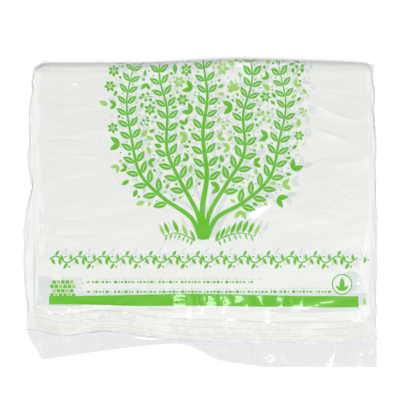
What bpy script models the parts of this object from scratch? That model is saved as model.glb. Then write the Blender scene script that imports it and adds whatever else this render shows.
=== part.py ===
"""Pack of plastic carrier bags, folded once and held in a clear film sleeve.

Metres, +Z up. The pack lies on its back on the XY plane, printed side up. +Y points to the
fold of the bags and to the sleeve's welded end, and -Y to the sleeve's open mouth.
"""

import math

import bmesh
import bpy
from mathutils import Vector

# Carrier bag, measured flat before it is folded
BAG_WIDTH = 0.300
BAG_LENGTH = 0.480
GUSSET_DEPTH = 0.072
FILM_WALL = 0.00008
FILM_SLIT = 0.00006
WELD_LENGTH = 0.003
HANDLE_LENGTH = 0.135
HANDLE_OVERLAP = 0.002
MOUTH_CORNER_RADIUS = 0.045
MOUTH_CORNER_STEPS = 6
MOUTH_CORNER_LIMIT = 0.95
MOUTH_CUT_MARGIN = 0.010

# Stack of bags, folded in half round the innermost one
BAG_COUNT = 12
BAG_CLEARANCE = 0.00025
FOLD_CORE_RADIUS = 0.00020
FOLD_STEPS = 8

# Clear sleeve round the stack
SLEEVE_WALL = 0.0002
SLEEVE_CLEARANCE = 0.0003
SLEEVE_END_STEPS = 5
SLEEVE_SIDE_STEPS = 6
SLEEVE_ACROSS = 20
FLAP_GAP = 0.0008
FLAP_CLOSING_LENGTH = 0.003
FLAP_EDGE_BULGE = 0.0012
FLAP_STEPS = 4

# How far the sleeve stands out beside the stack, left and right, at shares of the way
# from the fold line to the ends of the bags
SIDE_SLACK = (
    (0.00, 0.0030, 0.0040),
    (0.03, 0.0036, 0.0043),
    (0.45, 0.0075, 0.0057),
    (0.62, 0.0086, 0.0060),
    (1.00, 0.0090, 0.0070),
)
# The same for the flap, at shares of the way from the ends of the bags to its longest point:
# its left corner is drawn in
FLAP_SLACK = (
    (0.00, 0.0090, 0.0070),
    (0.35, 0.0005, 0.0070),
    (0.80, -0.0045, 0.0070),
    (1.00, -0.0050, 0.0070),
)
# How far the flap's cut edge stands beyond the ends of the bags, at places across the sleeve
# given as shares of half its width
FLAP_CUT = (
    (-1.00, 0.0195),
    (-0.58, 0.0107),
    (-0.43, 0.0080),
    (-0.15, 0.0045),
    (-0.05, 0.0065),
    (0.10, 0.0190),
    (0.28, 0.0240),
    (0.42, 0.0256),
    (1.00, 0.0256),
)
# How far the welded end stands beyond the fold of the bags, at the same kind of places
END_WELD = (
    (-1.00, 0.0018),
    (-0.90, 0.0036),
    (-0.80, 0.0022),
    (-0.30, 0.0022),
    (0.24, 0.0051),
    (0.70, 0.0036),
    (1.00, 0.0020),
)
END_WELD_START = 0.0006
# Where the sleeve has rings along its flat body, as shares of the way from the fold line to
# the ends of the bags
BODY_RINGS = (0.75, 0.50, 0.25, 0.03)

BAG_THICKNESS = 4 * FILM_WALL + 3 * FILM_SLIT
BAG_PITCH = BAG_THICKNESS + BAG_CLEARANCE
STACK_HALF_HEIGHT = FOLD_CORE_RADIUS + BAG_COUNT * BAG_PITCH - BAG_CLEARANCE
SLEEVE_OFFSET = SLEEVE_CLEARANCE + SLEEVE_WALL
SLEEVE_HALF_HEIGHT = STACK_HALF_HEIGHT + SLEEVE_OFFSET
FLAP_HALF_HEIGHT = FLAP_GAP / 2 + SLEEVE_WALL

# The origin is under the middle of the sleeve, so the stack's place follows from what stands
# out round it
LONGEST_FLAP = max(row[1] for row in FLAP_CUT)
LONGEST_WELD = max(row[1] for row in END_WELD)
FOLD_LINE_Y = (BAG_LENGTH / 2 + LONGEST_FLAP - SLEEVE_HALF_HEIGHT - LONGEST_WELD) / 2
STACK_CENTRE_X = (max(row[1] for row in SIDE_SLACK) - max(row[2] for row in SIDE_SLACK)) / 2
STACK_LEFT = STACK_CENTRE_X - BAG_WIDTH / 2
STACK_RIGHT = STACK_CENTRE_X + BAG_WIDTH / 2
BAG_ENDS_Y = FOLD_LINE_Y - BAG_LENGTH / 2
FOLD_TOP_Y = FOLD_LINE_Y + SLEEVE_HALF_HEIGHT
QUARTER_TURN = math.pi / 2

# Corners of the film section that lie on the outside of a weld, where the gussets are closed
WELD_CORNERS = (0, 1, 4, 5, 6, 7, 10, 11)
GUSSET_CORNERS = ((1, 2, 3, 4), (7, 8, 9, 10))

FILM_WHITE = (0.87, 0.88, 0.86, 1.0)
FILM_ROUGHNESS = 0.38
SLEEVE_TINT = (0.84, 0.86, 0.88, 0.3)
SLEEVE_ROUGHNESS = 0.12


def clear_scene() -> None:
    """Remove every object that the scene starts with."""
    for obj in list(bpy.data.objects):
        bpy.data.objects.remove(obj, do_unlink=True)


def film_material(name: str, colour: tuple, roughness: float) -> bpy.types.Material:
    """Make a plastic film's material from its colour, alpha and roughness."""
    material = bpy.data.materials.new(name)
    material.use_nodes = True
    shader = material.node_tree.nodes["Principled BSDF"]
    shader.inputs["Base Color"].default_value = colour
    shader.inputs["Alpha"].default_value = colour[3]
    shader.inputs["Roughness"].default_value = roughness
    shader.inputs["Metallic"].default_value = 0.0
    return material


def add_piece(name: str, bm: bmesh.types.BMesh, location: Vector) -> bpy.types.Object:
    """Turn a finished mesh into a named object at its place."""
    mesh = bpy.data.meshes.new(name)
    bm.to_mesh(mesh)
    bm.free()
    piece = bpy.data.objects.new(name, mesh)
    piece.location = location
    bpy.context.collection.objects.link(piece)
    return piece


def face_out(bm: bmesh.types.BMesh) -> None:
    """Turn a mesh whose faces agree with each other so that they point out of its material."""
    if bm.calc_volume(signed=True) < 0.0:
        bmesh.ops.reverse_faces(bm, faces=bm.faces[:])


def loft(bm: bmesh.types.BMesh, ring: list, next_ring: list) -> None:
    """Join two rings of vertices with a band of quads."""
    count = len(ring)
    for i in range(count):
        j = (i + 1) % count
        bm.faces.new((ring[i], ring[j], next_ring[j], next_ring[i]))


def smooth_through(points: tuple, place: float, column: int = 1) -> float:
    """Read a column of a table at a place, on a smooth curve through its rows."""
    last = len(points) - 1
    if place <= points[0][0]:
        return points[0][column]
    if place >= points[last][0]:
        return points[last][column]
    row = max(i for i in range(last) if points[i][0] <= place)
    low, high = points[row], points[row + 1]
    before, after = points[max(row - 1, 0)], points[min(row + 2, last)]
    span = high[0] - low[0]
    slope_low = (high[column] - before[column]) / (high[0] - before[0])
    slope_high = (after[column] - low[column]) / (after[0] - low[0])
    t = (place - low[0]) / span
    return (
        (2 * t**3 - 3 * t**2 + 1) * low[column]
        + (t**3 - 2 * t**2 + t) * span * slope_low
        + (3 * t**2 - 2 * t**3) * high[column]
        + (t**3 - t**2) * span * slope_high
    )


def film_section() -> tuple[list, list]:
    """Give the flattened, gusseted tube's section as (x, height) corners.

    Returns the loop of the skin and the loop of the hollow inside it, corner for corner. On
    each side the gusset is tucked in between the front and the back wall, so four walls of
    film lie on each other there and two in the middle.
    """
    side = BAG_WIDTH / 2
    tuck = side - GUSSET_DEPTH
    upper = BAG_THICKNESS / 2 + FILM_SLIT / 2
    lower = BAG_THICKNESS / 2 - FILM_SLIT / 2
    skin = [
        (side, BAG_THICKNESS),
        (side, upper),
        (tuck, upper),
        (tuck, lower),
        (side, lower),
        (side, 0.0),
    ]
    hollow = [
        (side - FILM_WALL, BAG_THICKNESS - FILM_WALL),
        (side - FILM_WALL, upper + FILM_WALL),
        (tuck - FILM_WALL, upper + FILM_WALL),
        (tuck - FILM_WALL, lower - FILM_WALL),
        (side - FILM_WALL, lower - FILM_WALL),
        (side - FILM_WALL, FILM_WALL),
    ]
    for loop in (skin, hollow):
        loop.extend([(-x, height) for x, height in reversed(loop)])
    return skin, hollow


def fold_point(x: float, radius: float, reach: float, angle: float) -> Vector:
    """Place a point of a folded bag by its reach from the fold line and angle round it."""
    return Vector((x, radius * math.cos(angle) - reach, radius * math.sin(angle)))


def bag_inner_radius(number: int) -> float:
    """Give the radius at which bag number, counted from the outside, folds round the rest."""
    return FOLD_CORE_RADIUS + (BAG_COUNT - number) * BAG_PITCH


def bag_leaf_length(number: int) -> float:
    """Give the length of each half of a bag, which the fold leaves of its cut length."""
    middle_radius = bag_inner_radius(number) + BAG_THICKNESS / 2
    return (BAG_LENGTH - math.pi * middle_radius) / 2


def close_weld(bm: bmesh.types.BMesh, ring: tuple, end_loop: list, at_start: bool) -> None:
    """Weld one end of the film tube: a solid strip that shuts the hollow and the gussets.

    Args:
        bm: The bag's mesh.
        ring: The skin's and the hollow's vertices where the weld begins.
        end_loop: The weld's outer corners at its far edge.
        at_start: True for the end from which the tube was lofted.
    """
    skin, hollow = ring
    near_loop = [skin[i] for i in WELD_CORNERS]
    turn = -1 if at_start else 1
    if at_start:
        loft(bm, end_loop, near_loop)
    else:
        loft(bm, near_loop, end_loop)
    bm.faces.new(end_loop[::turn])
    bm.faces.new(hollow[:: -turn])
    for corners in GUSSET_CORNERS:
        bm.faces.new([skin[i] for i in corners][::turn])


def bag_mesh(number: int) -> bmesh.types.BMesh:
    """Loft one bag's film tube round the fold, from its handles to its bottom weld."""
    skin, hollow = film_section()
    inner_radius = bag_inner_radius(number)
    leaf = bag_leaf_length(number)
    stations = [(leaf - WELD_LENGTH, -QUARTER_TURN)]
    for step in range(FOLD_STEPS + 1):
        stations.append((0.0, -QUARTER_TURN + math.pi * step / FOLD_STEPS))
    stations.append((leaf - WELD_LENGTH, QUARTER_TURN))

    bm = bmesh.new()
    rings = []
    for reach, angle in stations:
        loops = []
        for corners in (skin, hollow):
            loops.append(
                [bm.verts.new(fold_point(x, inner_radius + h, reach, angle)) for x, h in corners]
            )
        rings.append(tuple(loops))
    for (skin_a, hollow_a), (skin_b, hollow_b) in zip(rings, rings[1:]):
        loft(bm, skin_a, skin_b)
        loft(bm, hollow_b, hollow_a)

    for ring, angle, at_start in ((rings[0], -QUARTER_TURN, True), (rings[-1], QUARTER_TURN, False)):
        end_loop = []
        for i in WELD_CORNERS:
            x, height = skin[i]
            end_loop.append(bm.verts.new(fold_point(x, inner_radius + height, leaf, angle)))
        close_weld(bm, ring, end_loop, at_start)
    face_out(bm)
    return bm


def mouth_cutter_mesh() -> bpy.types.Mesh:
    """Make the rounded block that cuts the mouth between the handles.

    Its origin is at the middle of the handle ends, on the stack's middle plane, and it cuts
    only what lies below that plane.
    """
    half_width = BAG_WIDTH / 2 - GUSSET_DEPTH - FILM_WALL - HANDLE_OVERLAP
    length = HANDLE_LENGTH + MOUTH_CUT_MARGIN
    depth = STACK_HALF_HEIGHT + MOUTH_CUT_MARGIN
    bm = bmesh.new()
    bmesh.ops.create_cube(bm, size=1.0)
    bmesh.ops.scale(bm, vec=(2 * half_width, length, depth), verts=bm.verts[:])
    bmesh.ops.translate(
        bm,
        vec=(0.0, length / 2 - MOUTH_CUT_MARGIN, -depth / 2),
        verts=bm.verts[:],
    )
    corners = []
    for edge in bm.edges:
        upright = abs(edge.verts[0].co.z - edge.verts[1].co.z) > MOUTH_CUT_MARGIN
        if upright and edge.verts[0].co.y > 0.0:
            corners.append(edge)
    bmesh.ops.bevel(
        bm,
        geom=corners,
        offset=min(MOUTH_CORNER_RADIUS, half_width * MOUTH_CORNER_LIMIT),
        segments=MOUTH_CORNER_STEPS,
        profile=0.5,
        affect="EDGES",
    )
    mesh = bpy.data.meshes.new("mouth_cutter")
    bm.to_mesh(mesh)
    bm.free()
    return mesh


def make_bag(number: int, cutter_mesh: bpy.types.Mesh, parent: bpy.types.Object) -> None:
    """Make one folded carrier bag and cut its mouth, which leaves the two handles."""
    place = Vector((STACK_CENTRE_X, FOLD_LINE_Y, SLEEVE_HALF_HEIGHT))
    bag = add_piece(f"carrier_bag_{number:02d}", bag_mesh(number), place)
    bag.parent = parent
    film = film_material(f"white_film_{number:02d}", FILM_WHITE, FILM_ROUGHNESS)
    bag.data.materials.append(film)

    cutter = bpy.data.objects.new(f"mouth_cutter_{number:02d}", cutter_mesh)
    cutter.location = place - Vector((0.0, bag_leaf_length(number), 0.0))
    cutter.parent = parent
    cutter.hide_render = True
    cutter.display_type = "WIRE"
    bpy.context.collection.objects.link(cutter)

    cut = bag.modifiers.new("mouth", "BOOLEAN")
    cut.operation = "DIFFERENCE"
    cut.solver = "EXACT"
    cut.object = cutter


def stack_envelope(y: float) -> float:
    """Give the sleeve's outer half height over the stack's stepped ends, fold and body.

    Every bag has the same cut length, so the outer ones, which go a longer way round the
    fold, end sooner, and the stack's free end is a wedge.
    """
    if y > FOLD_LINE_Y:
        return math.sqrt(max(SLEEVE_HALF_HEIGHT**2 - (y - FOLD_LINE_Y) ** 2, 0.0))
    wedge_slope = 1.0 / QUARTER_TURN
    offset = SLEEVE_OFFSET * math.hypot(1.0, wedge_slope)
    wedge = wedge_slope * (y - BAG_ENDS_Y) + BAG_THICKNESS / 2 + offset
    return min(SLEEVE_HALF_HEIGHT, max(wedge, FLAP_HALF_HEIGHT))


def sleeve_ring(line, half: float, middle: float, sides: tuple, inset: float) -> list:
    """Give the points of one ring of the sleeve, from the left of the top wall clockwise.

    Args:
        line: A function that gives Y at a share of half the width, -1 at the left.
        half: The ring's outer half height.
        middle: The height of its middle.
        sides: The left and right ends in X, and the width of the rounded side at each.
        inset: How far inside the outer surface the ring lies.
    """
    left, right, bulge_left, bulge_right = sides
    flat_left = left + bulge_left
    flat_right = right - bulge_right
    width = flat_right - flat_left
    height = half - inset

    def at(x: float, z: float) -> Vector:
        share = 2.0 * (x - left) / (right - left) - 1.0
        return Vector((x, line(share), middle + z))

    top = [at(flat_left + width * i / SLEEVE_ACROSS, height) for i in range(SLEEVE_ACROSS + 1)]
    bottom = [at(flat_right - width * i / SLEEVE_ACROSS, -height) for i in range(SLEEVE_ACROSS + 1)]
    right_side = []
    left_side = []
    for i in range(1, SLEEVE_SIDE_STEPS):
        angle = math.pi * i / SLEEVE_SIDE_STEPS
        out = math.sin(angle)
        up = height * math.cos(angle)
        right_side.append(at(flat_right + (bulge_right - inset) * out, up))
        left_side.append(at(flat_left - (bulge_left - inset) * out, -up))
    return top + right_side + bottom + left_side


def sleeve_stations() -> list:
    """List the sleeve's rings from its mouth to its welded end, as keyword arguments."""
    flap_start = BAG_ENDS_Y - FLAP_CLOSING_LENGTH
    stations = []

    for step in range(FLAP_STEPS, 0, -1):
        share = step / FLAP_STEPS
        left = STACK_LEFT - smooth_through(FLAP_SLACK, share, 1)
        right = STACK_RIGHT + smooth_through(FLAP_SLACK, share, 2)
        droop = share * share * (3.0 - 2.0 * share)

        def flap_line(across: float, share: float = share) -> float:
            cut = BAG_ENDS_Y - smooth_through(FLAP_CUT, across)
            return flap_start + share * (cut - flap_start)

        stations.append({
            "line": flap_line,
            "half": FLAP_HALF_HEIGHT,
            "middle": SLEEVE_HALF_HEIGHT + droop * (FLAP_HALF_HEIGHT - SLEEVE_HALF_HEIGHT),
            "sides": (left, right, FLAP_EDGE_BULGE, FLAP_EDGE_BULGE),
        })

    wedge_top = BAG_ENDS_Y + QUARTER_TURN * (STACK_HALF_HEIGHT - BAG_THICKNESS / 2)
    body = [BAG_ENDS_Y + (FOLD_LINE_Y - BAG_ENDS_Y) * (1.0 - share) for share in BODY_RINGS]
    fold = []
    for step in range(SLEEVE_END_STEPS + 1):
        angle = QUARTER_TURN * step / SLEEVE_END_STEPS
        fold.append(FOLD_LINE_Y + SLEEVE_HALF_HEIGHT * math.sin(angle))
    for y in [flap_start, BAG_ENDS_Y, wedge_top] + body + fold[:-1]:
        place = (FOLD_LINE_Y - y) / (FOLD_LINE_Y - BAG_ENDS_Y)
        slack_left = smooth_through(SIDE_SLACK, place, 1)
        slack_right = smooth_through(SIDE_SLACK, place, 2)
        stations.append({
            "line": lambda across, y=y: y,
            "half": FLAP_HALF_HEIGHT if y == flap_start else stack_envelope(y),
            "middle": SLEEVE_HALF_HEIGHT,
            "sides": (STACK_LEFT - slack_left, STACK_RIGHT + slack_right, slack_left, slack_right),
        })
    return stations


def make_sleeve(parent: bpy.types.Object) -> None:
    """Loft the clear sleeve round the stack: open at the mouth, welded past the fold."""
    stations = sleeve_stations()
    bm = bmesh.new()
    outer = []
    inner = []
    for station in stations:
        outer.append([bm.verts.new(p) for p in sleeve_ring(inset=0.0, **station)])
        inner.append([bm.verts.new(p) for p in sleeve_ring(inset=SLEEVE_WALL, **station)])
    for ring, next_ring in zip(outer, outer[1:]):
        loft(bm, ring, next_ring)
    for ring, next_ring in zip(inner, inner[1:]):
        loft(bm, next_ring, ring)
    loft(bm, inner[0], outer[0])

    end_sides = stations[-1]["sides"]

    def end_line(across: float) -> float:
        return FOLD_TOP_Y + smooth_through(END_WELD, across)

    rings = []
    for line in (lambda across: FOLD_TOP_Y + END_WELD_START, end_line):
        points = sleeve_ring(line, SLEEVE_WALL, SLEEVE_HALF_HEIGHT, end_sides, 0.0)
        rings.append([bm.verts.new(p) for p in points])
    loft(bm, outer[-1], rings[0])
    loft(bm, rings[0], rings[1])
    bm.faces.new(rings[1])
    bm.faces.new(inner[-1][::-1])
    face_out(bm)

    sleeve = add_piece("clear_sleeve", bm, Vector((0.0, 0.0, 0.0)))
    sleeve.parent = parent
    sleeve.data.materials.append(film_material("clear_film", SLEEVE_TINT, SLEEVE_ROUGHNESS))


def main() -> None:
    """Build the pack: the folded bags from the outside in, then the sleeve."""
    clear_scene()
    pack = bpy.data.objects.new("pack", None)
    bpy.context.collection.objects.link(pack)
    cutter_mesh = mouth_cutter_mesh()
    for number in range(1, BAG_COUNT + 1):
        make_bag(number, cutter_mesh, pack)
    make_sleeve(pack)


main()
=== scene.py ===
"""Looks of a pack of plastic carrier bags: printed white film, folded once, in a clear sleeve.

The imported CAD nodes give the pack's sizes. Plan lengths are in millimetres on the frame's X and
Y until a mesh is made, which is in metres. A bag is laid out flat first, as the bag maker has
it: `across` is X, and `along` runs from the fold line, below zero on the printed leaf and above
zero round the fold and down the leaf under it.
"""

import logging
import math
from dataclasses import dataclass, field
from enum import Enum

import bpy
import numpy as np
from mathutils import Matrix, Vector, geometry, kdtree


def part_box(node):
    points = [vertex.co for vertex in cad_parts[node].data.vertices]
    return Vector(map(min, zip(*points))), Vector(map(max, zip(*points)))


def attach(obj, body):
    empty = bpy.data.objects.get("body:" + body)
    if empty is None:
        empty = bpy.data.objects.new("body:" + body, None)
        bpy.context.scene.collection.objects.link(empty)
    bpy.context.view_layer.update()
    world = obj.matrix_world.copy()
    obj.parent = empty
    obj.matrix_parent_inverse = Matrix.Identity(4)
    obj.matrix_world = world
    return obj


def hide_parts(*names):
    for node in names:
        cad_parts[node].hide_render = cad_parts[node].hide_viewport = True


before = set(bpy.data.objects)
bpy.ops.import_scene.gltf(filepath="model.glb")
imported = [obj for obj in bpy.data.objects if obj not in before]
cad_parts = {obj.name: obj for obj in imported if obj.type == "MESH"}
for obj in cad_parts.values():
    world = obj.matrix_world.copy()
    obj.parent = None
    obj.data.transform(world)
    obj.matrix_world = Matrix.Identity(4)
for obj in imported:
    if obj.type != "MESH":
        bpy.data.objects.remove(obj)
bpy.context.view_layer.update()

log = logging.getLogger("carrier_bag_pack")

MM = 0.001
BAG_SEED = 100
PRINTED_GRID = 1.4
PLAIN_GRID = 5.0
FOLD_POWER = 0.95
MERGE_DISTANCE = 1e-5

# Motifs of the usual size: a cluster's radius; leaves' length, width and turns; a spot's radius.
CLUSTER_ROOM = {"hand": 6.6, "twig": 6.0, "blossom": 4.4}
SMALL_LEAVES = {"pair": (7.4, 3.5, (-34, 34)), "leaf": (6.4, 3.3, (0,))}
SMALL_SPOTS = {"berry": 1.35, "dot": 0.75}


class Ink(Enum):
    """What a field of the printed leaf is covered with, in the order of the material slots."""

    BARE = 0
    LEAF_GREEN = 1
    LIME = 2
    NEXT_BAG = 3
    # bottom weld strip at a bag's free end: a real heat seal, its darker colour partly painted
    # shade along the end
    WELD = 4


class CreaseForm(Enum):
    """How a crease stands: up as a ridge, down as a valley, or up on its left side only."""

    RIDGE = "ridge"
    VALLEY = "valley"
    TUCK = "tuck"


class SleevePart(Enum):
    """The stretches of the sleeve from its cut edge to its weld."""

    FLAP = 0
    FALL = 1
    WEDGE = 2
    BODY = 3
    FOLD = 4
    WELD = 5


def to_linear(code: str) -> tuple[float, float, float, float]:
    """Turn an sRGB hex colour such as "#6EC635" into linear red, green, blue and alpha.

    Args:
        code: The colour.

    Returns:
        The four channels, from 0 to 1.
    """
    channels = []
    for i in (1, 3, 5):
        value = int(code[i:i + 2], 16) / 255.0
        channels.append(value / 12.92 if value <= 0.04045 else ((value + 0.055) / 1.055) ** 2.4)
    return (channels[0], channels[1], channels[2], 1.0)


def smooth_step(value: np.ndarray) -> np.ndarray:
    """Ease from 0 to 1 as the value goes from 0 to 1."""
    t = np.clip(value, 0.0, 1.0)
    return t * t * (3.0 - 2.0 * t)


def smooth_curve(points: tuple, steps: int) -> np.ndarray:
    """Run a smooth curve through plan points.

    Args:
        points: The points that the curve passes, in order.
        steps: How many stretches each span is cut into.

    Returns:
        The curve's points, one per row.
    """
    spots = np.asarray(points, float)
    if len(spots) == 2:
        share = np.linspace(0.0, 1.0, steps + 1)[:, None]
        return spots[0] * (1.0 - share) + spots[1] * share
    padded = np.vstack([2.0 * spots[0] - spots[1], spots, 2.0 * spots[-1] - spots[-2]])
    out = []
    for before, start, end, after in zip(padded, padded[1:], padded[2:], padded[3:]):
        for t in np.linspace(0.0, 1.0, steps, endpoint=False):
            out.append(0.5 * (
                2.0 * start
                + (end - before) * t
                + (2.0 * before - 5.0 * start + 4.0 * end - after) * t**2
                + (3.0 * start - before - 3.0 * end + after) * t**3
            ))
    out.append(spots[-1])
    return np.array(out)


def profile(points: tuple, place: np.ndarray) -> np.ndarray:
    """Read a smooth line through (place, value) points at many places, with no overshoot.

    Args:
        points: The line's points, in order of place.
        place: The places to read.

    Returns:
        The value at each place.
    """
    places, values = np.array(points, float).T
    gaps = np.diff(places)
    grades = np.diff(values) / gaps
    tangents = np.zeros_like(places)
    tangents[0], tangents[-1] = grades[0], grades[-1]
    before, after = grades[:-1], grades[1:]
    same = before * after > 0.0
    tangents[1:-1][same] = 2.0 * before[same] * after[same] / (before + after)[same]
    at = np.clip(place, places[0], places[-1])
    span = np.clip(np.searchsorted(places, at, side="right") - 1, 0, len(gaps) - 1)
    t = (at - places[span]) / gaps[span]
    start, end = values[span], values[span + 1]
    leaving, coming = tangents[span] * t * (1.0 - t) ** 2, tangents[span + 1] * t * t * (1.0 - t)
    return start + (end - start) * smooth_step(t) + gaps[span] * (leaving - coming)


def path_run(path: np.ndarray) -> np.ndarray:
    """Give the way run along a path at each of its points."""
    return np.concatenate([[0.0], np.cumsum(np.hypot(*np.diff(path, axis=0).T))])


def left_of(path: np.ndarray) -> np.ndarray:
    """Give the direction to the left of a path at each of its points.

    Args:
        path: Its points.

    Returns:
        A direction of length 1 for each point.
    """
    ahead = np.gradient(path, axis=0)
    ahead /= np.hypot(ahead[:, 0], ahead[:, 1])[:, None]
    return np.column_stack([-ahead[:, 1], ahead[:, 0]])


def towards(start: np.ndarray, end: np.ndarray, step: float) -> np.ndarray:
    """Lay points from one corner to the next, about a step apart, without the last corner."""
    count = max(int(np.hypot(*(end - start)) / step), 1)
    return start + (end - start) * (np.arange(count) / count)[:, None]


def pointing(angle: float) -> np.ndarray:
    """Give the direction at an angle, in degrees from +X."""
    return np.array([math.cos(math.radians(angle)), math.sin(math.radians(angle))])


def fold_round(share: np.ndarray) -> np.ndarray:
    """Turn a sine or cosine round the fold into that of a fold a little squarer than round."""
    return np.sign(share) * np.abs(share) ** FOLD_POWER


@dataclass(frozen=True)
class Crease:
    """One crease line in film: where it runs, how high it stands and how far it spreads.

    The fields after `form` are the same for all creases: the steps to a span of the line for
    the lift and for the mesh, lengths as multiples of the width, and a power.
    """

    points: tuple
    height: float
    width: float
    form: CreaseForm
    lift_steps: int = 6
    mesh_steps: int = 12
    mesh_rows: tuple = (-2.2, -1.1, -0.4, 0.4, 1.1, 2.2)
    crest: float = 0.3
    reach: float = 6.0
    tuck_reach: float = 26.0
    tuck_length: float = 9.0
    taper_power: float = 0.7

    def mesh_points(self, spacing: float) -> np.ndarray:
        """Lay points along the crease and beside it, so that a mesh can follow it.

        Args:
            spacing: How far apart they are along it.

        Returns:
            The points.
        """
        path = smooth_curve(self.points, self.mesh_steps)
        run = path_run(path)
        places = np.linspace(0.0, run[-1], max(int(run[-1] / spacing), 2))
        line = np.column_stack([np.interp(places, run, path[:, i]) for i in (0, 1)])
        side = left_of(line)
        return np.vstack([line + share * self.width * side for share in self.mesh_rows])

    def lift(self, x: np.ndarray, y: np.ndarray) -> np.ndarray:
        """Give the film's lift at plan points, in mm.

        Args:
            x: X of each point.
            y: Y of each point.

        Returns:
            The lift of each point.
        """
        path = smooth_curve(self.points, self.lift_steps)
        tucked = self.form is CreaseForm.TUCK
        reach = (self.tuck_reach if tucked else self.reach) * self.width
        low, high = path.min(0) - reach, path.max(0) + reach
        near = (x > low[0]) & (x < high[0]) & (y > low[1]) & (y < high[1])
        lift = np.zeros_like(x)
        if not near.any():
            return lift
        px, py = x[near], y[near]
        steps, run = np.diff(path, axis=0), path_run(path)
        best = np.full(px.shape, np.inf)
        side, along = np.zeros_like(px), np.zeros_like(px)
        for (ax, ay), (dx, dy), length, start in zip(path, steps, np.hypot(*steps.T), run):
            t = np.clip(((px - ax) * dx + (py - ay) * dy) / length**2, 0.0, 1.0)
            ex, ey = px - ax - t * dx, py - ay - t * dy
            distance = np.hypot(ex, ey)
            closer = distance < best
            best = np.where(closer, distance, best)
            side = np.where(closer, np.sign(dx * ey - dy * ex), side)
            along = np.where(closer, (start + t * length) / run[-1], along)
        taper = np.sin(math.pi * np.clip(along, 0.0, 1.0)) ** self.taper_power
        crest = self.crest * self.width
        slope = np.exp(-(np.sqrt(best**2 + crest**2) - crest) / self.width)
        if self.form is CreaseForm.VALLEY:
            slope = -slope
        elif tucked:
            fade = np.exp(-best / (self.tuck_length * self.width))
            slope = 0.5 * (1.0 + np.tanh(side * best / self.width)) * fade
        lift[near] = self.height * taper * slope
        return lift


@dataclass(frozen=True)
class Ripple:
    """Soft irregular waves all over a sheet, as long as given across and along it."""

    height: float
    length_x: float
    length_y: float
    seed: int
    count: int = 28
    sharp: bool = False
    sharp_level: float = 0.8

    def lift(self, x: np.ndarray, y: np.ndarray) -> np.ndarray:
        """Give the waves' lift at plan points, in mm.

        Args:
            x: X of each point.
            y: Y of each point.

        Returns:
            The lift of each point.
        """
        dice = np.random.default_rng(self.seed)
        total = np.zeros_like(x)
        for _ in range(self.count):
            kx = dice.normal() * 2.0 * math.pi / self.length_x
            ky = dice.normal() * 2.0 * math.pi / self.length_y
            total += np.sin(kx * x + ky * y + dice.uniform(0.0, 2.0 * math.pi))
        total *= math.sqrt(2.0 / self.count)
        return self.height * (self.sharp_level - np.abs(total) if self.sharp else total)


@dataclass(frozen=True)
class Crumple:
    """A patch of film crushed into small flat facets that meet at sharp edges.

    Without given corners, they are strewn over an oval. Given ones are (x, y, height), and the
    height is zero on the patch's outline.
    """

    centre: tuple
    size: tuple
    height: float = 1.0
    facets: int = 0
    seed: int = 0
    corners: tuple = ()
    strewn_to: float = 0.88
    rim_corners: int = 13
    merge_distance: float = 1e-6
    least_area: float = 1e-9

    def spots(self) -> tuple[np.ndarray, np.ndarray]:
        """Give the facets' corners in the patch's own scale, and their heights.

        Returns:
            The corners and the height of each.
        """
        if self.corners:
            given = np.array(self.corners, float)
            return (given[:, :2] - self.centre) / self.size, given[:, 2]
        dice = np.random.default_rng(self.seed)
        inner = dice.uniform(-1.0, 1.0, (self.facets, 2))
        inner = inner[np.hypot(inner[:, 0], inner[:, 1]) < self.strewn_to]
        rim = disc_outline((0.0, 0.0), 1.0, self.rim_corners)
        heights = dice.uniform(-1.0, 1.0, len(inner)) * self.height
        return np.vstack([inner, rim]), np.concatenate([heights, np.zeros(len(rim))])

    def lift(self, x: np.ndarray, y: np.ndarray) -> np.ndarray:
        """Give the facets' lift at plan points, in mm.

        Args:
            x: X of each point.
            y: Y of each point.

        Returns:
            The lift of each point.
        """
        spots, heights = self.spots()
        made = geometry.delaunay_2d_cdt(
            [Vector(spot) for spot in spots], [], [], 0, self.merge_distance, True)
        near_x = (x - self.centre[0]) / self.size[0]
        near_y = (y - self.centre[1]) / self.size[1]
        low, high = spots.min(0), spots.max(0)
        inside = (near_x >= low[0]) & (near_x <= high[0]) & (near_y >= low[1]) & (near_y <= high[1])
        px, py = near_x[inside], near_y[inside]
        lift = np.zeros_like(x)
        local = np.zeros_like(px)
        for corners in made[2]:
            first, second, third = (made[3][i][0] for i in corners)
            (ax, ay), (bx, by), (cx, cy) = spots[first], spots[second], spots[third]
            area = (bx - ax) * (cy - ay) - (cx - ax) * (by - ay)
            if abs(area) < self.least_area:
                continue
            u = ((px - ax) * (cy - ay) - (cx - ax) * (py - ay)) / area
            v = ((bx - ax) * (py - ay) - (px - ax) * (by - ay)) / area
            here = (u >= 0.0) & (v >= 0.0) & (u + v <= 1.0)
            height = heights[first] + u * (heights[second] - heights[first])
            height += v * (heights[third] - heights[first])
            local[here] = height[here]
        lift[inside] = local
        return lift


def creases(*rows: tuple) -> tuple:
    """Read creases from rows of form, height, width, then X and Y of each point, all in mm."""
    return tuple(
        Crease(tuple(zip(row[3::2], row[4::2])), row[1], row[2], row[0]) for row in rows)


def total_lift(parts: tuple, x: np.ndarray, y: np.ndarray) -> np.ndarray:
    """Add up the lift of creases, ripples and crumples at plan points, in mm.

    Args:
        parts: The creases, ripples and crumples.
        x: X of each point.
        y: Y of each point.

    Returns:
        The lift of each point.
    """
    lift = np.zeros_like(x)
    for part in parts:
        lift += part.lift(x, y)
    return lift


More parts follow.
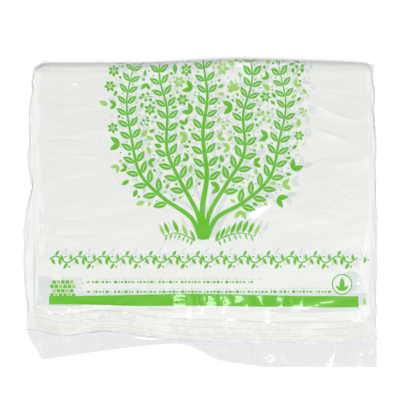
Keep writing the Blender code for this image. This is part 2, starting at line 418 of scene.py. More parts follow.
def leaf_outline(base: tuple | np.ndarray, angle: float, length: float, width: float,
                 rows: int = 8, power: float = 0.85) -> np.ndarray:
    """Draw a pointed leaf that grows from its base at an angle, in degrees from +X.

    Args:
        base: Its foot.
        angle: Its direction in degrees from +X.
        length: Its length.
        width: Its width where it is widest.
        rows: How many points a side has.
        power: Below 1 it is fuller, and widest nearer its foot.

    Returns:
        The outline's points.
    """
    shares = np.linspace(0.0, 1.0, rows)
    halves = 0.5 * width * np.sin(math.pi * shares**power) ** power
    ahead = np.concatenate([shares * length, (shares * length)[::-1][1:-1]])
    aside = np.concatenate([-halves, halves[::-1][1:-1]])
    turn = math.radians(angle)
    return np.column_stack([
        base[0] + ahead * math.cos(turn) - aside * math.sin(turn),
        base[1] + ahead * math.sin(turn) + aside * math.cos(turn)])


def disc_outline(centre: tuple | np.ndarray, radius: float, corners: int) -> np.ndarray:
    """Draw a round spot.

    Args:
        centre: Its middle.
        radius: Its radius.
        corners: How many points it has.

    Returns:
        The outline's points.
    """
    turns = np.linspace(0.0, 2.0 * math.pi, corners, endpoint=False)
    return np.column_stack([
        centre[0] + radius * np.cos(turns), centre[1] + radius * np.sin(turns)])


def ribbon_outline(path: np.ndarray, widths: np.ndarray) -> np.ndarray:
    """Draw a line of changing width along a path."""
    side = left_of(path) * widths[:, None] / 2.0
    return np.vstack([path - side, (path + side)[::-1]])


def grid_faces(first: int, rows: int, width: int, closed: bool) -> list[tuple]:
    """List the four corners of each face between rows of points, which rings close.

    Args:
        first: The number of the first point.
        rows: How many rows there are.
        width: How many points a row has.
        closed: Whether each row is a ring, whose last point joins its first.

    Returns:
        The faces by the numbers of their points.
    """
    faces = []
    for row in range(first, first + (rows - 1) * width, width):
        for i in range(width if closed else width - 1):
            j = (i + 1) % width
            faces.append((row + i, row + j, row + width + j, row + width + i))
    return faces


def place_object(name: str, data: bpy.types.ID) -> bpy.types.Object:
    """Put a mesh, a lamp or a camera into the scene.

    Args:
        name: Its name.
        data: The mesh, lamp or camera.

    Returns:
        The new object.
    """
    placed = bpy.data.objects.new(name, data)
    bpy.context.collection.objects.link(placed)
    return placed


def film_object(name: str, points: np.ndarray, faces: list, materials: list,
                sharp_from: float) -> bpy.types.Object:
    """Make an object of film, smooth but for its sharp edges.

    Args:
        name: Its name.
        points: Its points in mm, one per row.
        faces: Its faces by the numbers of their points.
        materials: Its materials.
        sharp_from: The angle in degrees from which an edge is sharp.

    Returns:
        The new object.
    """
    mesh = bpy.data.meshes.new(name)
    mesh.from_pydata((points * MM).tolist(), [], faces)
    for material in materials:
        mesh.materials.append(material)
    mesh.shade_smooth()
    mesh.set_sharp_from_angle(angle=math.radians(sharp_from))
    mesh.update()
    return place_object(name, mesh)


def add_node(tree: bpy.types.NodeTree, kind: str, inputs: dict | None = None,
             **settings: str) -> bpy.types.Node:
    """Add a shader node with its settings and links.

    Args:
        tree: The node tree that takes it.
        kind: The node's type without "ShaderNode", such as "Mix".
        inputs: A value, or an output socket to link, for each input by name or number.
        settings: Its properties by name.

    Returns:
        The new node.
    """
    node = tree.nodes.new(f"ShaderNode{kind}")
    for name, value in settings.items():
        setattr(node, name, value)
    for name, value in (inputs or {}).items():
        if isinstance(value, bpy.types.NodeSocket):
            tree.links.new(value, node.inputs[name])
        else:
            node.inputs[name].default_value = value
    return node


def empty_material(name: str) -> tuple[bpy.types.Material, bpy.types.NodeTree]:
    """Make a material that has no nodes yet, and give it with its tree.

    Args:
        name: Its name.

    Returns:
        The material and its node tree.
    """
    material = bpy.data.materials.new(name)
    material.use_nodes = True
    material.node_tree.nodes.clear()
    return material, material.node_tree


def per_metre(length_mm: float) -> float:
    """Give the scale of a pattern that repeats at a length."""
    return 1.0 / (length_mm * MM)


@dataclass(frozen=True)
class MattFilmFinish:
    """Blown HDPE bag film, filled white or printed by flexography.

    The film is thin and matt, so it shows its own fine draw lines and a soft, broad shine.
    """

    name: str
    pale: str
    deep: str
    roughness: float
    ior: float = 1.5
    blotch_mm: float = 24.0
    draw_line_mm: float = 1.6
    draw_line_share: float = 0.12
    bump_mm: float = 0.03

    def make(self) -> bpy.types.Material:
        """Make the material.

        Returns:
            The new material.
        """
        material, tree = empty_material(self.name)
        place = add_node(tree, "TexCoord").outputs["Object"]
        blotch = add_node(tree, "TexNoise", {
            "Vector": place, "Scale": per_metre(self.blotch_mm), "Detail": 3.0, "Roughness": 0.55})
        shade = add_node(tree, "Mix", {
            "Factor": blotch.outputs["Fac"], 6: to_linear(self.pale), 7: to_linear(self.deep),
        }, data_type="RGBA")
        drawn = add_node(tree, "Mapping", {
            "Vector": place, "Scale": (1.0, self.draw_line_share, 1.0)})
        lines = add_node(tree, "TexNoise", {
            "Vector": drawn.outputs["Vector"], "Scale": per_metre(self.draw_line_mm),
            "Detail": 2.0})
        bump = add_node(tree, "Bump", {
            "Height": lines.outputs["Fac"], "Distance": self.bump_mm * MM, "Strength": 1.0})
        surface = add_node(tree, "BsdfPrincipled", {
            "Base Color": shade.outputs[2], "Roughness": self.roughness, "IOR": self.ior,
            "Normal": bump.outputs["Normal"]})
        add_node(tree, "OutputMaterial", {"Surface": surface.outputs["BSDF"]})
        return material


@dataclass(frozen=True)
class ClearFilmFinish:
    """Cast clear polypropylene film, about 40 micrometres: it passes nearly all the light.

    Its two faces mirror the lamps a little, more where it turns away from the eye, and a longer
    way through the film is greyer. Faint die lines run along the tube.
    """

    name: str
    passed: str = "#FAFAFB"
    die_lines: str = "#F7F7F8"
    die_line_mm: tuple = (1.7, 45.0, 45.0)
    die_line_from: float = 0.55
    die_line_full: float = 0.78
    edge_passed: str = "#E9EBED"
    edge_power: float = 3.0
    mirrored: float = 0.077
    mirror_power: float = 5.0
    roughness: float = 0.12
    bump_mm: float = 0.05
    crinkle_mm: float = 5.0

    def make(self) -> bpy.types.Material:
        """Make the material.

        Returns:
            The new material.
        """
        material, tree = empty_material(self.name)
        place = add_node(tree, "TexCoord").outputs["Object"]
        crinkle = add_node(tree, "TexNoise", {
            "Vector": place, "Scale": per_metre(self.crinkle_mm), "Detail": 3.0})
        bump = add_node(tree, "Bump", {
            "Height": crinkle.outputs["Fac"], "Distance": self.bump_mm * MM, "Strength": 1.0})
        stretched = add_node(tree, "Mapping", {
            "Vector": place, "Scale": tuple(per_metre(size) for size in self.die_line_mm)})
        lines = add_node(tree, "TexNoise", {
            "Vector": stretched.outputs["Vector"], "Scale": 1.0, "Detail": 3.0,
            "Distortion": 0.8})
        streaks = add_node(tree, "MapRange", {
            "Value": lines.outputs["Fac"], "From Min": self.die_line_from,
            "From Max": self.die_line_full})
        plain = add_node(tree, "Mix", {
            "Factor": streaks.outputs["Result"], 6: to_linear(self.passed),
            7: to_linear(self.die_lines)}, data_type="RGBA")
        facing = add_node(tree, "LayerWeight", {"Blend": 0.5, "Normal": bump.outputs["Normal"]})
        slant = add_node(tree, "Math", {
            0: facing.outputs["Facing"], 1: self.edge_power}, operation="POWER")
        tint = add_node(tree, "Mix", {
            "Factor": slant.outputs["Value"], 6: plain.outputs[2],
            7: to_linear(self.edge_passed)}, data_type="RGBA")
        through = add_node(tree, "BsdfTransparent", {"Color": tint.outputs[2]})
        shine = add_node(tree, "BsdfGlossy", {
            "Roughness": self.roughness, "Normal": bump.outputs["Normal"]})
        glance = add_node(tree, "Math", {
            0: facing.outputs["Facing"], 1: self.mirror_power}, operation="POWER")
        share = add_node(tree, "MapRange", {
            "Value": glance.outputs["Value"], "To Min": self.mirrored, "To Max": 1.0})
        surface = add_node(tree, "MixShader", {
            0: share.outputs["Result"], 1: through.outputs["BSDF"], 2: shine.outputs["BSDF"]})
        add_node(tree, "OutputMaterial", {"Surface": surface.outputs["Shader"]})
        return material


@dataclass(frozen=True)
class StudioFloorFinish:
    """White photo board: matt, lit by the lamps and bright to the eye, so that it reads white."""

    name: str = "white_photo_board"
    board: str = "#747474"
    added: float = 0.89
    mirrored_share: float = 0.7

    def make(self) -> bpy.types.Material:
        """Make the material.

        Returns:
            The new material.
        """
        material, tree = empty_material(self.name)
        board = add_node(tree, "BsdfDiffuse", {"Color": to_linear(self.board)})
        path = add_node(tree, "LightPath")
        mirrored = add_node(tree, "Math", {
            0: path.outputs["Is Glossy Ray"], 1: self.mirrored_share}, operation="MULTIPLY")
        seen = add_node(tree, "Math", {
            0: path.outputs["Is Camera Ray"], 1: mirrored.outputs["Value"]}, operation="MAXIMUM")
        any_seen = add_node(tree, "Math", {
            0: seen.outputs["Value"], 1: path.outputs["Is Transmission Ray"]},
            operation="MAXIMUM")
        strength = add_node(tree, "Math", {
            0: any_seen.outputs["Value"], 1: self.added}, operation="MULTIPLY")
        glow = add_node(tree, "Emission", {"Strength": strength.outputs["Value"]})
        both = add_node(tree, "AddShader", {
            0: board.outputs["BSDF"], 1: glow.outputs["Emission"]})
        add_node(tree, "OutputMaterial", {"Surface": both.outputs["Shader"]})
        return material


@dataclass(frozen=True)
class Finishes:
    """Every finish in the pack, made once and shared by the pieces."""

    white_film: bpy.types.Material
    layered_film_end_shade: bpy.types.Material
    leaf_green_ink: bpy.types.Material
    lime_ink: bpy.types.Material
    next_bag_print: bpy.types.Material
    bottom_weld_and_end_shade: bpy.types.Material
    clear_film: bpy.types.Material

    @staticmethod
    def mix() -> "Finishes":
        """Make all the materials, the film's from rows of name, colours and roughness.

        Returns:
            The whole set.
        """
        film = (
            ("white", "#F9FAF5", "#F7F8F2", 0.45),
            # inner bags' film: a little darker and warmer than the printed bag's, partly painted
            # shade between the stacked bag ends
            ("layered_ends_shaded", "#F6F6F0", "#F2F2EA", 0.50),
            ("flexo_green", "#70CE28", "#68C821", 0.40),
            ("flexo_lime", "#AEE474", "#9FDA62", 0.40),
            ("print_behind", "#E9EFEB", "#E0E8E4", 0.45),
            # weld strip: darker than bare film, partly a real seal and partly painted shade of the
            # line each bag's end casts
            ("heat_weld_and_end_shade", "#EAEAE2", "#E6E6DD", 0.50),
        )
        made = [MattFilmFinish(f"hdpe_film_{name}", *look).make() for name, *look in film]
        return Finishes(*made, ClearFilmFinish("pp_film_clear").make())

    def film_slots(self) -> list[bpy.types.Material]:
        """List the printed film's materials in the order of Ink."""
        return [self.white_film, self.leaf_green_ink, self.lime_ink, self.next_bag_print,
                self.bottom_weld_and_end_shade]

    def inner_slots(self) -> list[bpy.types.Material]:
        """List the materials of the bags inside: bare film a little darker as painted shade of the
        stacked ends, then the weld strip, partly painted end shade.
        """
        return [self.layered_film_end_shade, self.bottom_weld_and_end_shade]


@dataclass(frozen=True)
class FoldPath:
    """The way one bag's film takes: the printed leaf, the fold round the stack, the leaf under it.

    Sizes in mm, read from the bag's CAD node.
    """

    left: float
    right: float
    radius: float
    middle_z: float
    line_y: float
    leaf: float
    depth: float

    @staticmethod
    def of_node(node: str, outermost: "FoldPath | None" = None) -> "FoldPath":
        """Read a bag's path from its CAD node; depth is its radius beside the outermost bag's.

        Args:
            node: The bag's CAD node.
            outermost: The outermost bag's path, or None to read that one.

        Returns:
            The bag's path.
        """
        low, high = (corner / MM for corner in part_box(node))
        radius = (high.z - low.z) / 2.0
        return FoldPath(
            left=low.x,
            right=high.x,
            radius=radius,
            middle_z=(high.z + low.z) / 2.0,
            line_y=high.y - radius,
            leaf=high.y - radius - low.y,
            depth=radius / outermost.radius if outermost else 1.0,
        )

    @property
    def middle(self) -> float:
        """X of the bag's middle."""
        return (self.right + self.left) / 2.0

    @property
    def half(self) -> float:
        """Half the bag's width."""
        return (self.right - self.left) / 2.0

    @property
    def turn(self) -> float:
        """The way round the fold."""
        return math.pi * self.radius

    @property
    def far_end(self) -> float:
        """Where the sheet ends, along it, at the handles."""
        return self.turn + self.leaf

    def place(self, across: np.ndarray, along: np.ndarray, lift: np.ndarray,
              tuck: np.ndarray) -> np.ndarray:
        """Bring points of the flat sheet to their place in the pack.

        Args:
            across: X of each point.
            along: Its place along the sheet, zero at the fold line of the printed leaf.
            lift: How far it stands out of the sheet.
            tuck: How far the fold is pushed in there.

        Returns:
            The points in mm, one per row.
        """
        angle = np.clip(along / self.radius, 0.0, math.pi)
        out = self.radius + lift
        before = np.minimum(along, 0.0)
        after = np.maximum(along - self.turn, 0.0)
        y = self.line_y + before - after + (out - tuck) * fold_round(np.sin(angle))
        z = self.middle_z + out * fold_round(np.cos(angle))
        return np.column_stack([across, y, z])


@dataclass(frozen=True)
class BagForm:
    """How the bags' film lies: waves and creases, drooping side edges and uneven free ends.

    `end_shift` and `corner_tuck` are (X, shift) pairs: how far the free end lies further up, and
    how far the fold is pushed in. The sides and ends swing in waves of the `uneven_lengths`.
    """

    waves: tuple
    creases: tuple
    back_waves: tuple
    side_droop: float = 0.6
    side_droop_width: float = 9.0
    side_droop_power: float = 2.4
    end_shift: tuple = (
        (-150, 10.4), (-124, 5.2), (-88, 9), (-72, 8.2), (-55, 5.4), (-38, 3), (-20, 1.2),
        (6, -0.2), (23, 0.2), (60, -1.3), (100, -1.4), (130, -0.6), (151, 2.2),
    )
    outer_shift: float = 4.6
    end_shift_from: float = 206.0
    uneven_lengths: tuple = (210.0, 120.0, 66.0, 31.0)
    uneven: float = 0.7
    uneven_power: float = 0.6
    uneven_least: float = 0.3
    uneven_end: float = 0.5
    side_power: int = 6
    corner_tuck: tuple = (
        (-158, 6.5), (-152, 5.4), (-149, 4.2), (-145, 1.6), (-140, 0.2), (-134, 0), (-60, 0),
        (-40, -0.4), (-20, -1.4), (10, -2.9), (35, -3.5), (60, -3.1), (90, -2.1), (120, -1),
        (140, -0.1), (147, 0.3), (151, 1.2), (158, 2.6),
    )

    def lift(self, across: np.ndarray, along: np.ndarray, path: FoldPath,
             creased: bool = True) -> np.ndarray:
        """Give the film's lift at points of the flat sheet of one bag.

        The printed leaf has its own creases. They fade out round the fold, and the leaf under
        it is pressed a little into the stack, never down to the floor.

        Args:
            across: X of each point.
            along: Its place along the sheet.
            path: The bag's fold path.
            creased: False for the waves alone, which the sleeve over the bags follows too.

        Returns:
            The lift in mm.
        """
        past = np.abs(across - path.middle) - path.half + self.side_droop_width
        near_side = np.clip(past / self.side_droop_width, 0.0, 1.0)
        droop = -self.side_droop * near_side**self.side_droop_power
        crown = 0.5 * path.turn
        front = np.zeros_like(across)
        on_front = along < crown
        front[on_front] = total_lift(
            self.waves + (self.creases if creased else ()),
            across[on_front], along[on_front] + path.line_y)
        front *= 1.0 - smooth_step(along / crown)
        back = np.zeros_like(across)
        on_back = along > crown
        back[on_back] = -np.abs(total_lift(
            self.back_waves, across[on_back], along[on_back] - path.turn))
        back *= smooth_step((along - crown) / path.turn)
        return path.depth * (front + back + droop)

    def end_of_stack(self, across: np.ndarray, path: FoldPath) -> np.ndarray:
        """Give Y of one bag's free printed end."""
        shift = profile(self.end_shift, across) + self.outer_shift * path.depth**2
        return path.line_y - path.leaf + shift

    def shifted(self, across: np.ndarray, along: np.ndarray, path: FoldPath,
                seed: int) -> tuple[np.ndarray, np.ndarray]:
        """Move points of the flat sheet as the hand-packed film lies: uneven sides and ends.

        Args:
            across: X of each point.
            along: Its place along the sheet.
            path: The bag's fold path.
            seed: A number that gives each bag its own edge.

        Returns:
            The new places across and along.
        """
        dice = np.random.default_rng(seed)
        share = (across - path.middle) / path.half
        swing = np.zeros_like(across)
        ragged = np.zeros_like(across)
        for length in self.uneven_lengths:
            size = self.uneven * (length / self.uneven_lengths[0]) ** self.uneven_power
            for side in (-1.0, 1.0):
                wave = np.sin(2.0 * math.pi * along / length + dice.uniform(0.0, 2.0 * math.pi))
                swing += (dice.uniform(self.uneven_least, 1.0) * size * wave
                          * np.maximum(side * share, 0.0) ** self.side_power)
            ragged += self.uneven_end * size * np.sin(
                2.0 * math.pi * across / length + dice.uniform(0.0, 2.0 * math.pi))
        room = path.leaf - self.end_shift_from
        reach = smooth_step((-along - self.end_shift_from) / room)
        reach -= smooth_step((along - path.turn - self.end_shift_from) / room)
        shift = self.end_of_stack(across, path) - path.line_y + path.leaf + ragged
        return across + swing, along + shift * reach


@dataclass
class Motif:
    """One printed shape: its outline in mm, in order, and its ink."""

    outline: np.ndarray
    ink: Ink


@dataclass
class SprigPrint:
    """A print of leafy sprigs that fan out from one foot, over rows of plain ornament.

    Places are X and Y on the frame in mm, as the printed leaf lies. Y runs on past the fold
    line as if the leaf were flat. `leaf_lengths` and `leaf_steps` are shares of the usual leaf
    and step: at a stem's foot, and how much less at its tip. The sizes of hands, twigs and
    blossoms are for one of the usual size. Rows of leaves are turn and length.
    """

    foot: tuple = (2, -23)
    stems: tuple = (
        ((1.5, -24), (0.5, 4), (4.5, 34), (1, 70), (5, 104), (1, 138), (4, 164)),
        ((0, -23), (-4, 0), (-19, 28), (-31, 56), (-31, 92), (-38, 124), (-34, 158)),
        ((3, -23), (7, 0), (23, 27), (38, 54), (37, 88), (45, 120), (40, 156)),
        ((-1, -23), (-10, -4), (-34, 13), (-55, 35), (-63, 68), (-67, 100), (-60, 134)),
        ((4, -23), (14, -4), (38, 10), (61, 32), (69, 64), (75, 96), (69, 130)),
    )
    stem_width: float = 3.6
    middle_stem: float = 1.35
    stem_tip: float = 0.7
    stem_power: float = 0.9
    bare_foot: tuple = (52.0, 44.0)
    bare_tip: float = 3.0
    leaf_length: float = 13.0
    leaf_lengths: tuple = (1.1, 0.38)
    leaf_step: float = 11.5
    leaf_steps: tuple = (1.12, 0.3)
    leaf_angle: float = 48.0
    leaf_out: float = 0.1
    leaf_width: float = 0.46
    tip_leaf: float = 0.7
    ribbed_from: float = 7.0
    rib: tuple = (0.14, 0.66, 0.55)
    gap: float = 0.95
    kept_step: float = 0.8
    kept_rings: tuple = (0.3, 0.65)
    small_corners: int = 20
    off_tips: tuple = (0.02, 0.98)
    near: float = 20.0
    fillers: tuple = (
        ("hand", 1.25, 500), ("twig", 1.2, 700), ("blossom", 1.2, 700), ("pair", 1.35, 900),
        ("twig", 0.9, 700), ("pair", 1.0, 900), ("leaf", 1.3, 900), ("leaf", 0.9, 900),
        ("berry", 1.0, 1500), ("dot", 1.0, 1500),
    )
    lime_share: float = 0.42
    size_range: tuple = (0.9, 1.1)
    cluster_gap: float = 0.7
    fan_seed: int = 5
    fan_steps: int = 14
    fan_from: int = 2
    fan_reach: float = 17.0
    fan_spread: float = 0.55
    fan_low: tuple = (
        (-90, 70), (-78, 44), (-60, 14), (-36, 3), (-16, 8), (0, 22), (20, 8), (40, 0), (66, 10),
        (84, 38), (96, 70),
    )
    hand_foot: float = 5.0
    hand_leaves: tuple = ((-78, 5.2), (-38, 7.4), (0, 9.4), (38, 7.4), (78, 5.2))
    hand_leaf_width: float = 3.0
    twig_foot: float = 5.4
    twig_stem: tuple = (0.0, 4.0, 9.0)
    twig_width: float = 0.62
    twig_berries: tuple = ((2.4, 2.6), (4.2, -2.6), (6.2, 2.4), (8, -2), (10.2, 0))
    berry_radius: float = 1.35
    stalk_from: float = 1.3
    stalk_width: float = 0.5
    petals: int = 6
    petal_from: float = 0.9
    petal: tuple = (3.6, 2.3)
    blossom_rings: tuple = (1.1, 0.7)
    spray: tuple = ((0.22, -2), (0.45, 2.5), (0.72, 5), (1, 2))
    spray_reach: tuple = ((-1, 36), (1, 46))
    spray_widths: tuple = (1.3, 0.7)
    spray_leaves: int = 15
    spray_leaf_out: float = 0.5
    spray_lean: float = 24.0
    spray_leaf: tuple = (13.0, 5.0, 0.6)
    spray_low_leaf: float = 5.6
    spray_leaf_width: float = 0.27
    spray_gap: float = 0.5
    band_points: int = 40
    band: tuple = (
        (-136.5, -82, -74.4), (-108, -82.1, -74.1), (-58, -84, -73.2), (-7, -83.2, -72.3),
        (44, -84, -73.2), (94, -84.2, -74.3), (120, -84.9, -74.3), (140.5, -85, -74.4),
    )
    vine: tuple = (-136.0, 139.0, -41.5)
    vine_points: int = 220
    vine_wave: float = 2.9
    vine_length: float = 21.0
    vine_width: float = 1.25
    vine_beats: int = 6
    vine_leans: tuple = (28, -34, 6)
    vine_leaf: tuple = (6.2, 0.9)
    vine_leaf_out: float = 0.7
    vine_gaps: tuple = (0.45, 0.6)
    vine_berry: float = 0.95
    vine_berry_out: float = 3.7
    rows: tuple = ((-103.0, 44.0, -61.8), (-103.0, 113.0, -70.4))
    grains: tuple = (2.9, 1.6, 3.6, 1.1, 2.4)
    grain_halves: tuple = (0.85, 1.25)
    grain_gaps: tuple = (2.2, 0.75)
    block: tuple = (-135.5, -75.0)
    block_rows: int = 4
    block_columns: int = 6
    square: float = 3.1
    square_step: float = 3.9
    ring: tuple = (125.5, -63.8)
    ring_radius: float = 9.3
    ring_line: float = 1.1
    shoot_foot: float = 5.8
    shoot_leaves: tuple = ((90, 12), (38, 7.5), (142, 7.5))
    shoot_leaf_width: float = 0.4
    turned_leaves: tuple = (
        ((145.5, -45), 80, 6, 2.8, Ink.LEAF_GREEN), ((146.5, -83), 95, 7.5, 2.4, Ink.LIME))
    turned_spot: tuple = (149, -42)
    turned_spot_radius: float = 0.8
    behind_shift: tuple = (8.0, 2.6)
    band_behind: tuple = (
        ((60, -88.2), (142, -86.8), 6.4), ((-92, -86.5), (-64, -87.4), 3.4),
        ((-48, -88.4), (-24, -89.4), 3.4),
    )
    band_behind_points: int = 24
    band_behind_power: float = 0.35
    patch_behind: tuple = ((-11.5, -1.8), (30, -1.8), (30, 1.7), (-1, 25.7), (-10, 24.7))
    motifs: list = field(default_factory=list)
    taken: np.ndarray = field(default_factory=lambda: np.full((1, 2), 1000.0))

    def add(self, outline: np.ndarray, ink: Ink) -> None:
        """Print a shape, whatever is under it, and keep its place from what comes after.

        Args:
            outline: The shape.
            ink: Its ink.
        """
        self.motifs.append(Motif(outline, ink))
        spots = [self.taken]
        for start, end in zip(outline, np.roll(outline, -1, axis=0)):
            spots.append(towards(start, end, self.kept_step))
        if len(outline) < self.small_corners:
            middle = outline.mean(0)
            spots.extend(share * outline + (1.0 - share) * middle for share in self.kept_rings)
        self.taken = np.vstack(spots)

    def add_stem(self, path: np.ndarray, widths: np.ndarray) -> tuple[int, int]:
        """Print a stem, and give its own range of taken places, which its leaves may touch.

        Args:
            path: Its middle line.
            widths: Its width at each point.

        Returns:
            The range's first place and the one after its last.
        """
        before = len(self.taken)
        self.add(ribbon_outline(path, widths), Ink.LEAF_GREEN)
        return before, len(self.taken)

    def fits(self, outline: np.ndarray, gap: float, own: tuple = (0, 0)) -> bool:
        """True if a shape keeps its distance from all that is printed so far.

        Args:
            outline: The shape.
            gap: The distance.
            own: The range of places that don't count, such as the leaf's own stem.

        Returns:
            Whether there is room for it.
        """
        middle = outline.mean(0)
        points = np.vstack([outline, middle, 0.5 * (outline + middle)])
        placed = np.vstack([self.taken[:own[0]], self.taken[own[1]:]])
        near = placed[np.hypot(*(placed - middle).T) < self.near]
        if not len(near):
            return True
        apart = np.hypot(
            points[:, None, 0] - near[None, :, 0], points[:, None, 1] - near[None, :, 1])
        return bool(apart.min() > gap)

    def add_leaf(self, base: np.ndarray, angle: float, length: float, gap: float,
                 own: tuple) -> None:
        """Print a green leaf with a bare midrib where there is room for it.

        Args:
            base: Its foot.
            angle: Its direction in degrees from +X.
            length: Its length.
            gap: The bare film it needs around it.
            own: The places of its own stem.
        """
        outline = leaf_outline(base, angle, length, self.leaf_width * length)
        if not self.fits(outline, gap, own):
            return
        self.add(outline, Ink.LEAF_GREEN)
        if length > self.ribbed_from:
            start, share, width = self.rib
            rib = leaf_outline(
                base + start * length * pointing(angle), angle, share * length, width)
            self.motifs.append(Motif(rib, Ink.BARE))

    def add_sprig(self, number: int) -> None:
        """Print one stem, thick at the foot and fine at the tip, with leaves in pairs.

        Args:
            number: Its row in `stems`; the first is the middle one.
        """
        path = smooth_curve(self.stems[number], steps=9)
        run = path_run(path)
        thick = self.stem_width * (1.0 if number else self.middle_stem)
        widths = thick * (1.0 - run / run[-1]) ** self.stem_power + self.stem_tip
        own = self.add_stem(path, widths)
        place = self.bare_foot[min(number, 1)]
        while place < run[-1] - self.bare_tip:
            share = place / run[-1]
            x, y, half = (np.interp(place, run, row) for row in (*path.T, widths / 2.0))
            x2, y2 = (np.interp(place + 1.0, run, row) for row in path.T)
            heading = math.degrees(math.atan2(y2 - y, x2 - x))
            length = self.leaf_length * (self.leaf_lengths[0] - self.leaf_lengths[1] * share)
            out = half / math.sin(math.radians(self.leaf_angle)) + self.leaf_out
            for side in (-1.0, 1.0):
                angle = heading + side * self.leaf_angle
                base = np.array([x, y]) + out * pointing(angle)
                self.add_leaf(base, angle, length, self.gap, own)
            place += self.leaf_step * (self.leaf_steps[0] - self.leaf_steps[1] * share)
        heading = math.degrees(math.atan2(*(path[-1] - path[-4])[::-1]))
        self.add_leaf(path[-1], heading, self.leaf_length * self.tip_leaf, self.gap, own)

    def add_fillers(self) -> None:
        """Fill the fan between the sprigs with twigs, blossoms, leaves and berries."""
        dice = np.random.default_rng(self.fan_seed)
        first = self.fan_from * self.fan_steps
        spine = np.vstack([
            smooth_curve(points, self.fan_steps)[first:] for points in self.stems])
        fan_x, fan_y = np.array(self.fan_low).T
        for kind, usual, tries in self.fillers:
            for _ in range(tries):
                near = spine[dice.integers(len(spine))]
                spot = near + dice.normal(size=2) * self.fan_reach * self.fan_spread
                angle = dice.uniform(0.0, 360.0)
                ink = Ink.LIME if dice.uniform() < self.lime_share else Ink.LEAF_GREEN
                size = usual * dice.uniform(*self.size_range)
                apart = np.hypot(*(spine - spot).T).min()
                if apart > self.fan_reach or spot[1] < np.interp(spot[0], fan_x, fan_y):
                    continue
                if kind not in CLUSTER_ROOM:
                    self.add_filler(kind, spot, angle, ink, size)
                    continue
                room = disc_outline(spot, CLUSTER_ROOM[kind] * size, corners=20)
                if self.fits(room, self.cluster_gap):
                    self.add_cluster(kind, spot, angle, ink, size)

    def add_cluster(self, kind: str, spot: np.ndarray, angle: float, ink: Ink, size: float) -> None:
        """Print one of the larger motifs round its middle.

        Args:
            kind: hand for five leaves on one stalk, twig for a twig of berries, or blossom.
            spot: Its middle.
            angle: Its turn in degrees.
            ink: Its ink.
            size: Its size beside the usual one.
        """
        ahead = pointing(angle)
        if kind == "hand":
            foot = spot - self.hand_foot * size * ahead
            for lean, length in self.hand_leaves:
                self.add(leaf_outline(
                    foot, angle + lean, length * size, self.hand_leaf_width * size), ink)
        elif kind == "twig":
            foot = spot - self.twig_foot * size * ahead
            path = np.array([foot + place * size * ahead for place in self.twig_stem])
            self.add(ribbon_outline(path, np.full(len(path), self.twig_width)), ink)
            side = np.array([-ahead[1], ahead[0]])
            for step, out in self.twig_berries:
                berry = foot + step * size * ahead + out * size * side
                self.add(disc_outline(berry, self.berry_radius * size, corners=11), ink)
                stalk = np.array([foot + (step - self.stalk_from) * size * ahead, berry])
                self.add(ribbon_outline(stalk, np.full(2, self.stalk_width)), ink)
        else:
            length, width = self.petal
            for number in range(self.petals):
                at = angle + 360.0 / self.petals * number
                base = spot + self.petal_from * size * pointing(at)
                self.add(leaf_outline(base, at, length * size, width * size), ink)
            outer, inner = self.blossom_rings
            self.motifs.append(Motif(disc_outline(spot, outer * size, corners=10), Ink.BARE))
            self.motifs.append(Motif(disc_outline(spot, inner * size, corners=8), ink))

    def add_filler(self, kind: str, spot: np.ndarray, angle: float, ink: Ink, size: float) -> None:
        """Print one small motif where there is room for it.

        Args:
            kind: pair, leaf, berry or dot.
            spot: Its place.
            angle: Its turn in degrees.
            ink: Its ink.
            size: Its size beside the usual one.
        """
        if kind in SMALL_SPOTS:
            outlines = [disc_outline(spot, SMALL_SPOTS[kind] * size, corners=11)]
        else:
            length, width, leans = SMALL_LEAVES[kind]
            outlines = [
                leaf_outline(spot, angle + lean, length * size, width * size) for lean in leans]
        if all(self.fits(outline, self.gap) for outline in outlines):
            for outline in outlines:
                self.add(outline, ink)

    def add_foot_sprays(self) -> None:
        """Print two low sprays of leaves beside the foot."""
        for side, reach in self.spray_reach:
            points = tuple((self.foot[0] + side * share * reach, self.foot[1] + up)
                           for share, up in self.spray)
            path = smooth_curve(points, steps=12)
            own = self.add_stem(path, np.linspace(*self.spray_widths, len(path)))
            for number, share in enumerate(np.linspace(*self.off_tips, self.spray_leaves)):
                up = -1.0 if number % 2 else 1.0
                angle = 90.0 * up - side * up * self.spray_lean
                base = path[int(share * (len(path) - 1))] + self.spray_leaf_out * pointing(angle)
                longest, less, peak = self.spray_leaf
                length = longest - less * abs(share - peak) if up > 0.0 else self.spray_low_leaf
                outline = leaf_outline(base, angle, length, self.spray_leaf_width * length)
                if self.fits(outline, self.spray_gap, own):
                    self.add(outline, Ink.LIME if number % 5 == 4 else Ink.LEAF_GREEN)

    def add_vine(self) -> None:
        """Print the running vine: a waving stem with a leaf at each crest and berries between."""
        left, right, y = self.vine
        xs = np.linspace(left, right, self.vine_points)
        waves = y + self.vine_wave * np.sin(2.0 * math.pi * (xs - left) / self.vine_length)
        own = self.add_stem(np.column_stack([xs, waves]), np.full(len(xs), self.vine_width))
        step = self.vine_length / self.vine_beats
        leaf_gap, berry_gap = self.vine_gaps
        for number in range(int((right - left) / step)):
            x = left + step * (number + 0.5)
            at = float(np.interp(x, xs, waves))
            up = 1.0 if number % 2 else -1.0
            angle = 90.0 * up + self.vine_leans[number % 3]
            length = self.vine_leaf[0] - self.vine_leaf[1] * (number % 2)
            base = np.array([x, at + self.vine_leaf_out * up])
            self.add_leaf(base, angle, length, leaf_gap, own)
            spot = (x + 0.5 * step, at + self.vine_berry_out * up)
            berry = disc_outline(spot, self.vine_berry, corners=10)
            if self.fits(berry, berry_gap):
                self.add(berry, Ink.LEAF_GREEN)

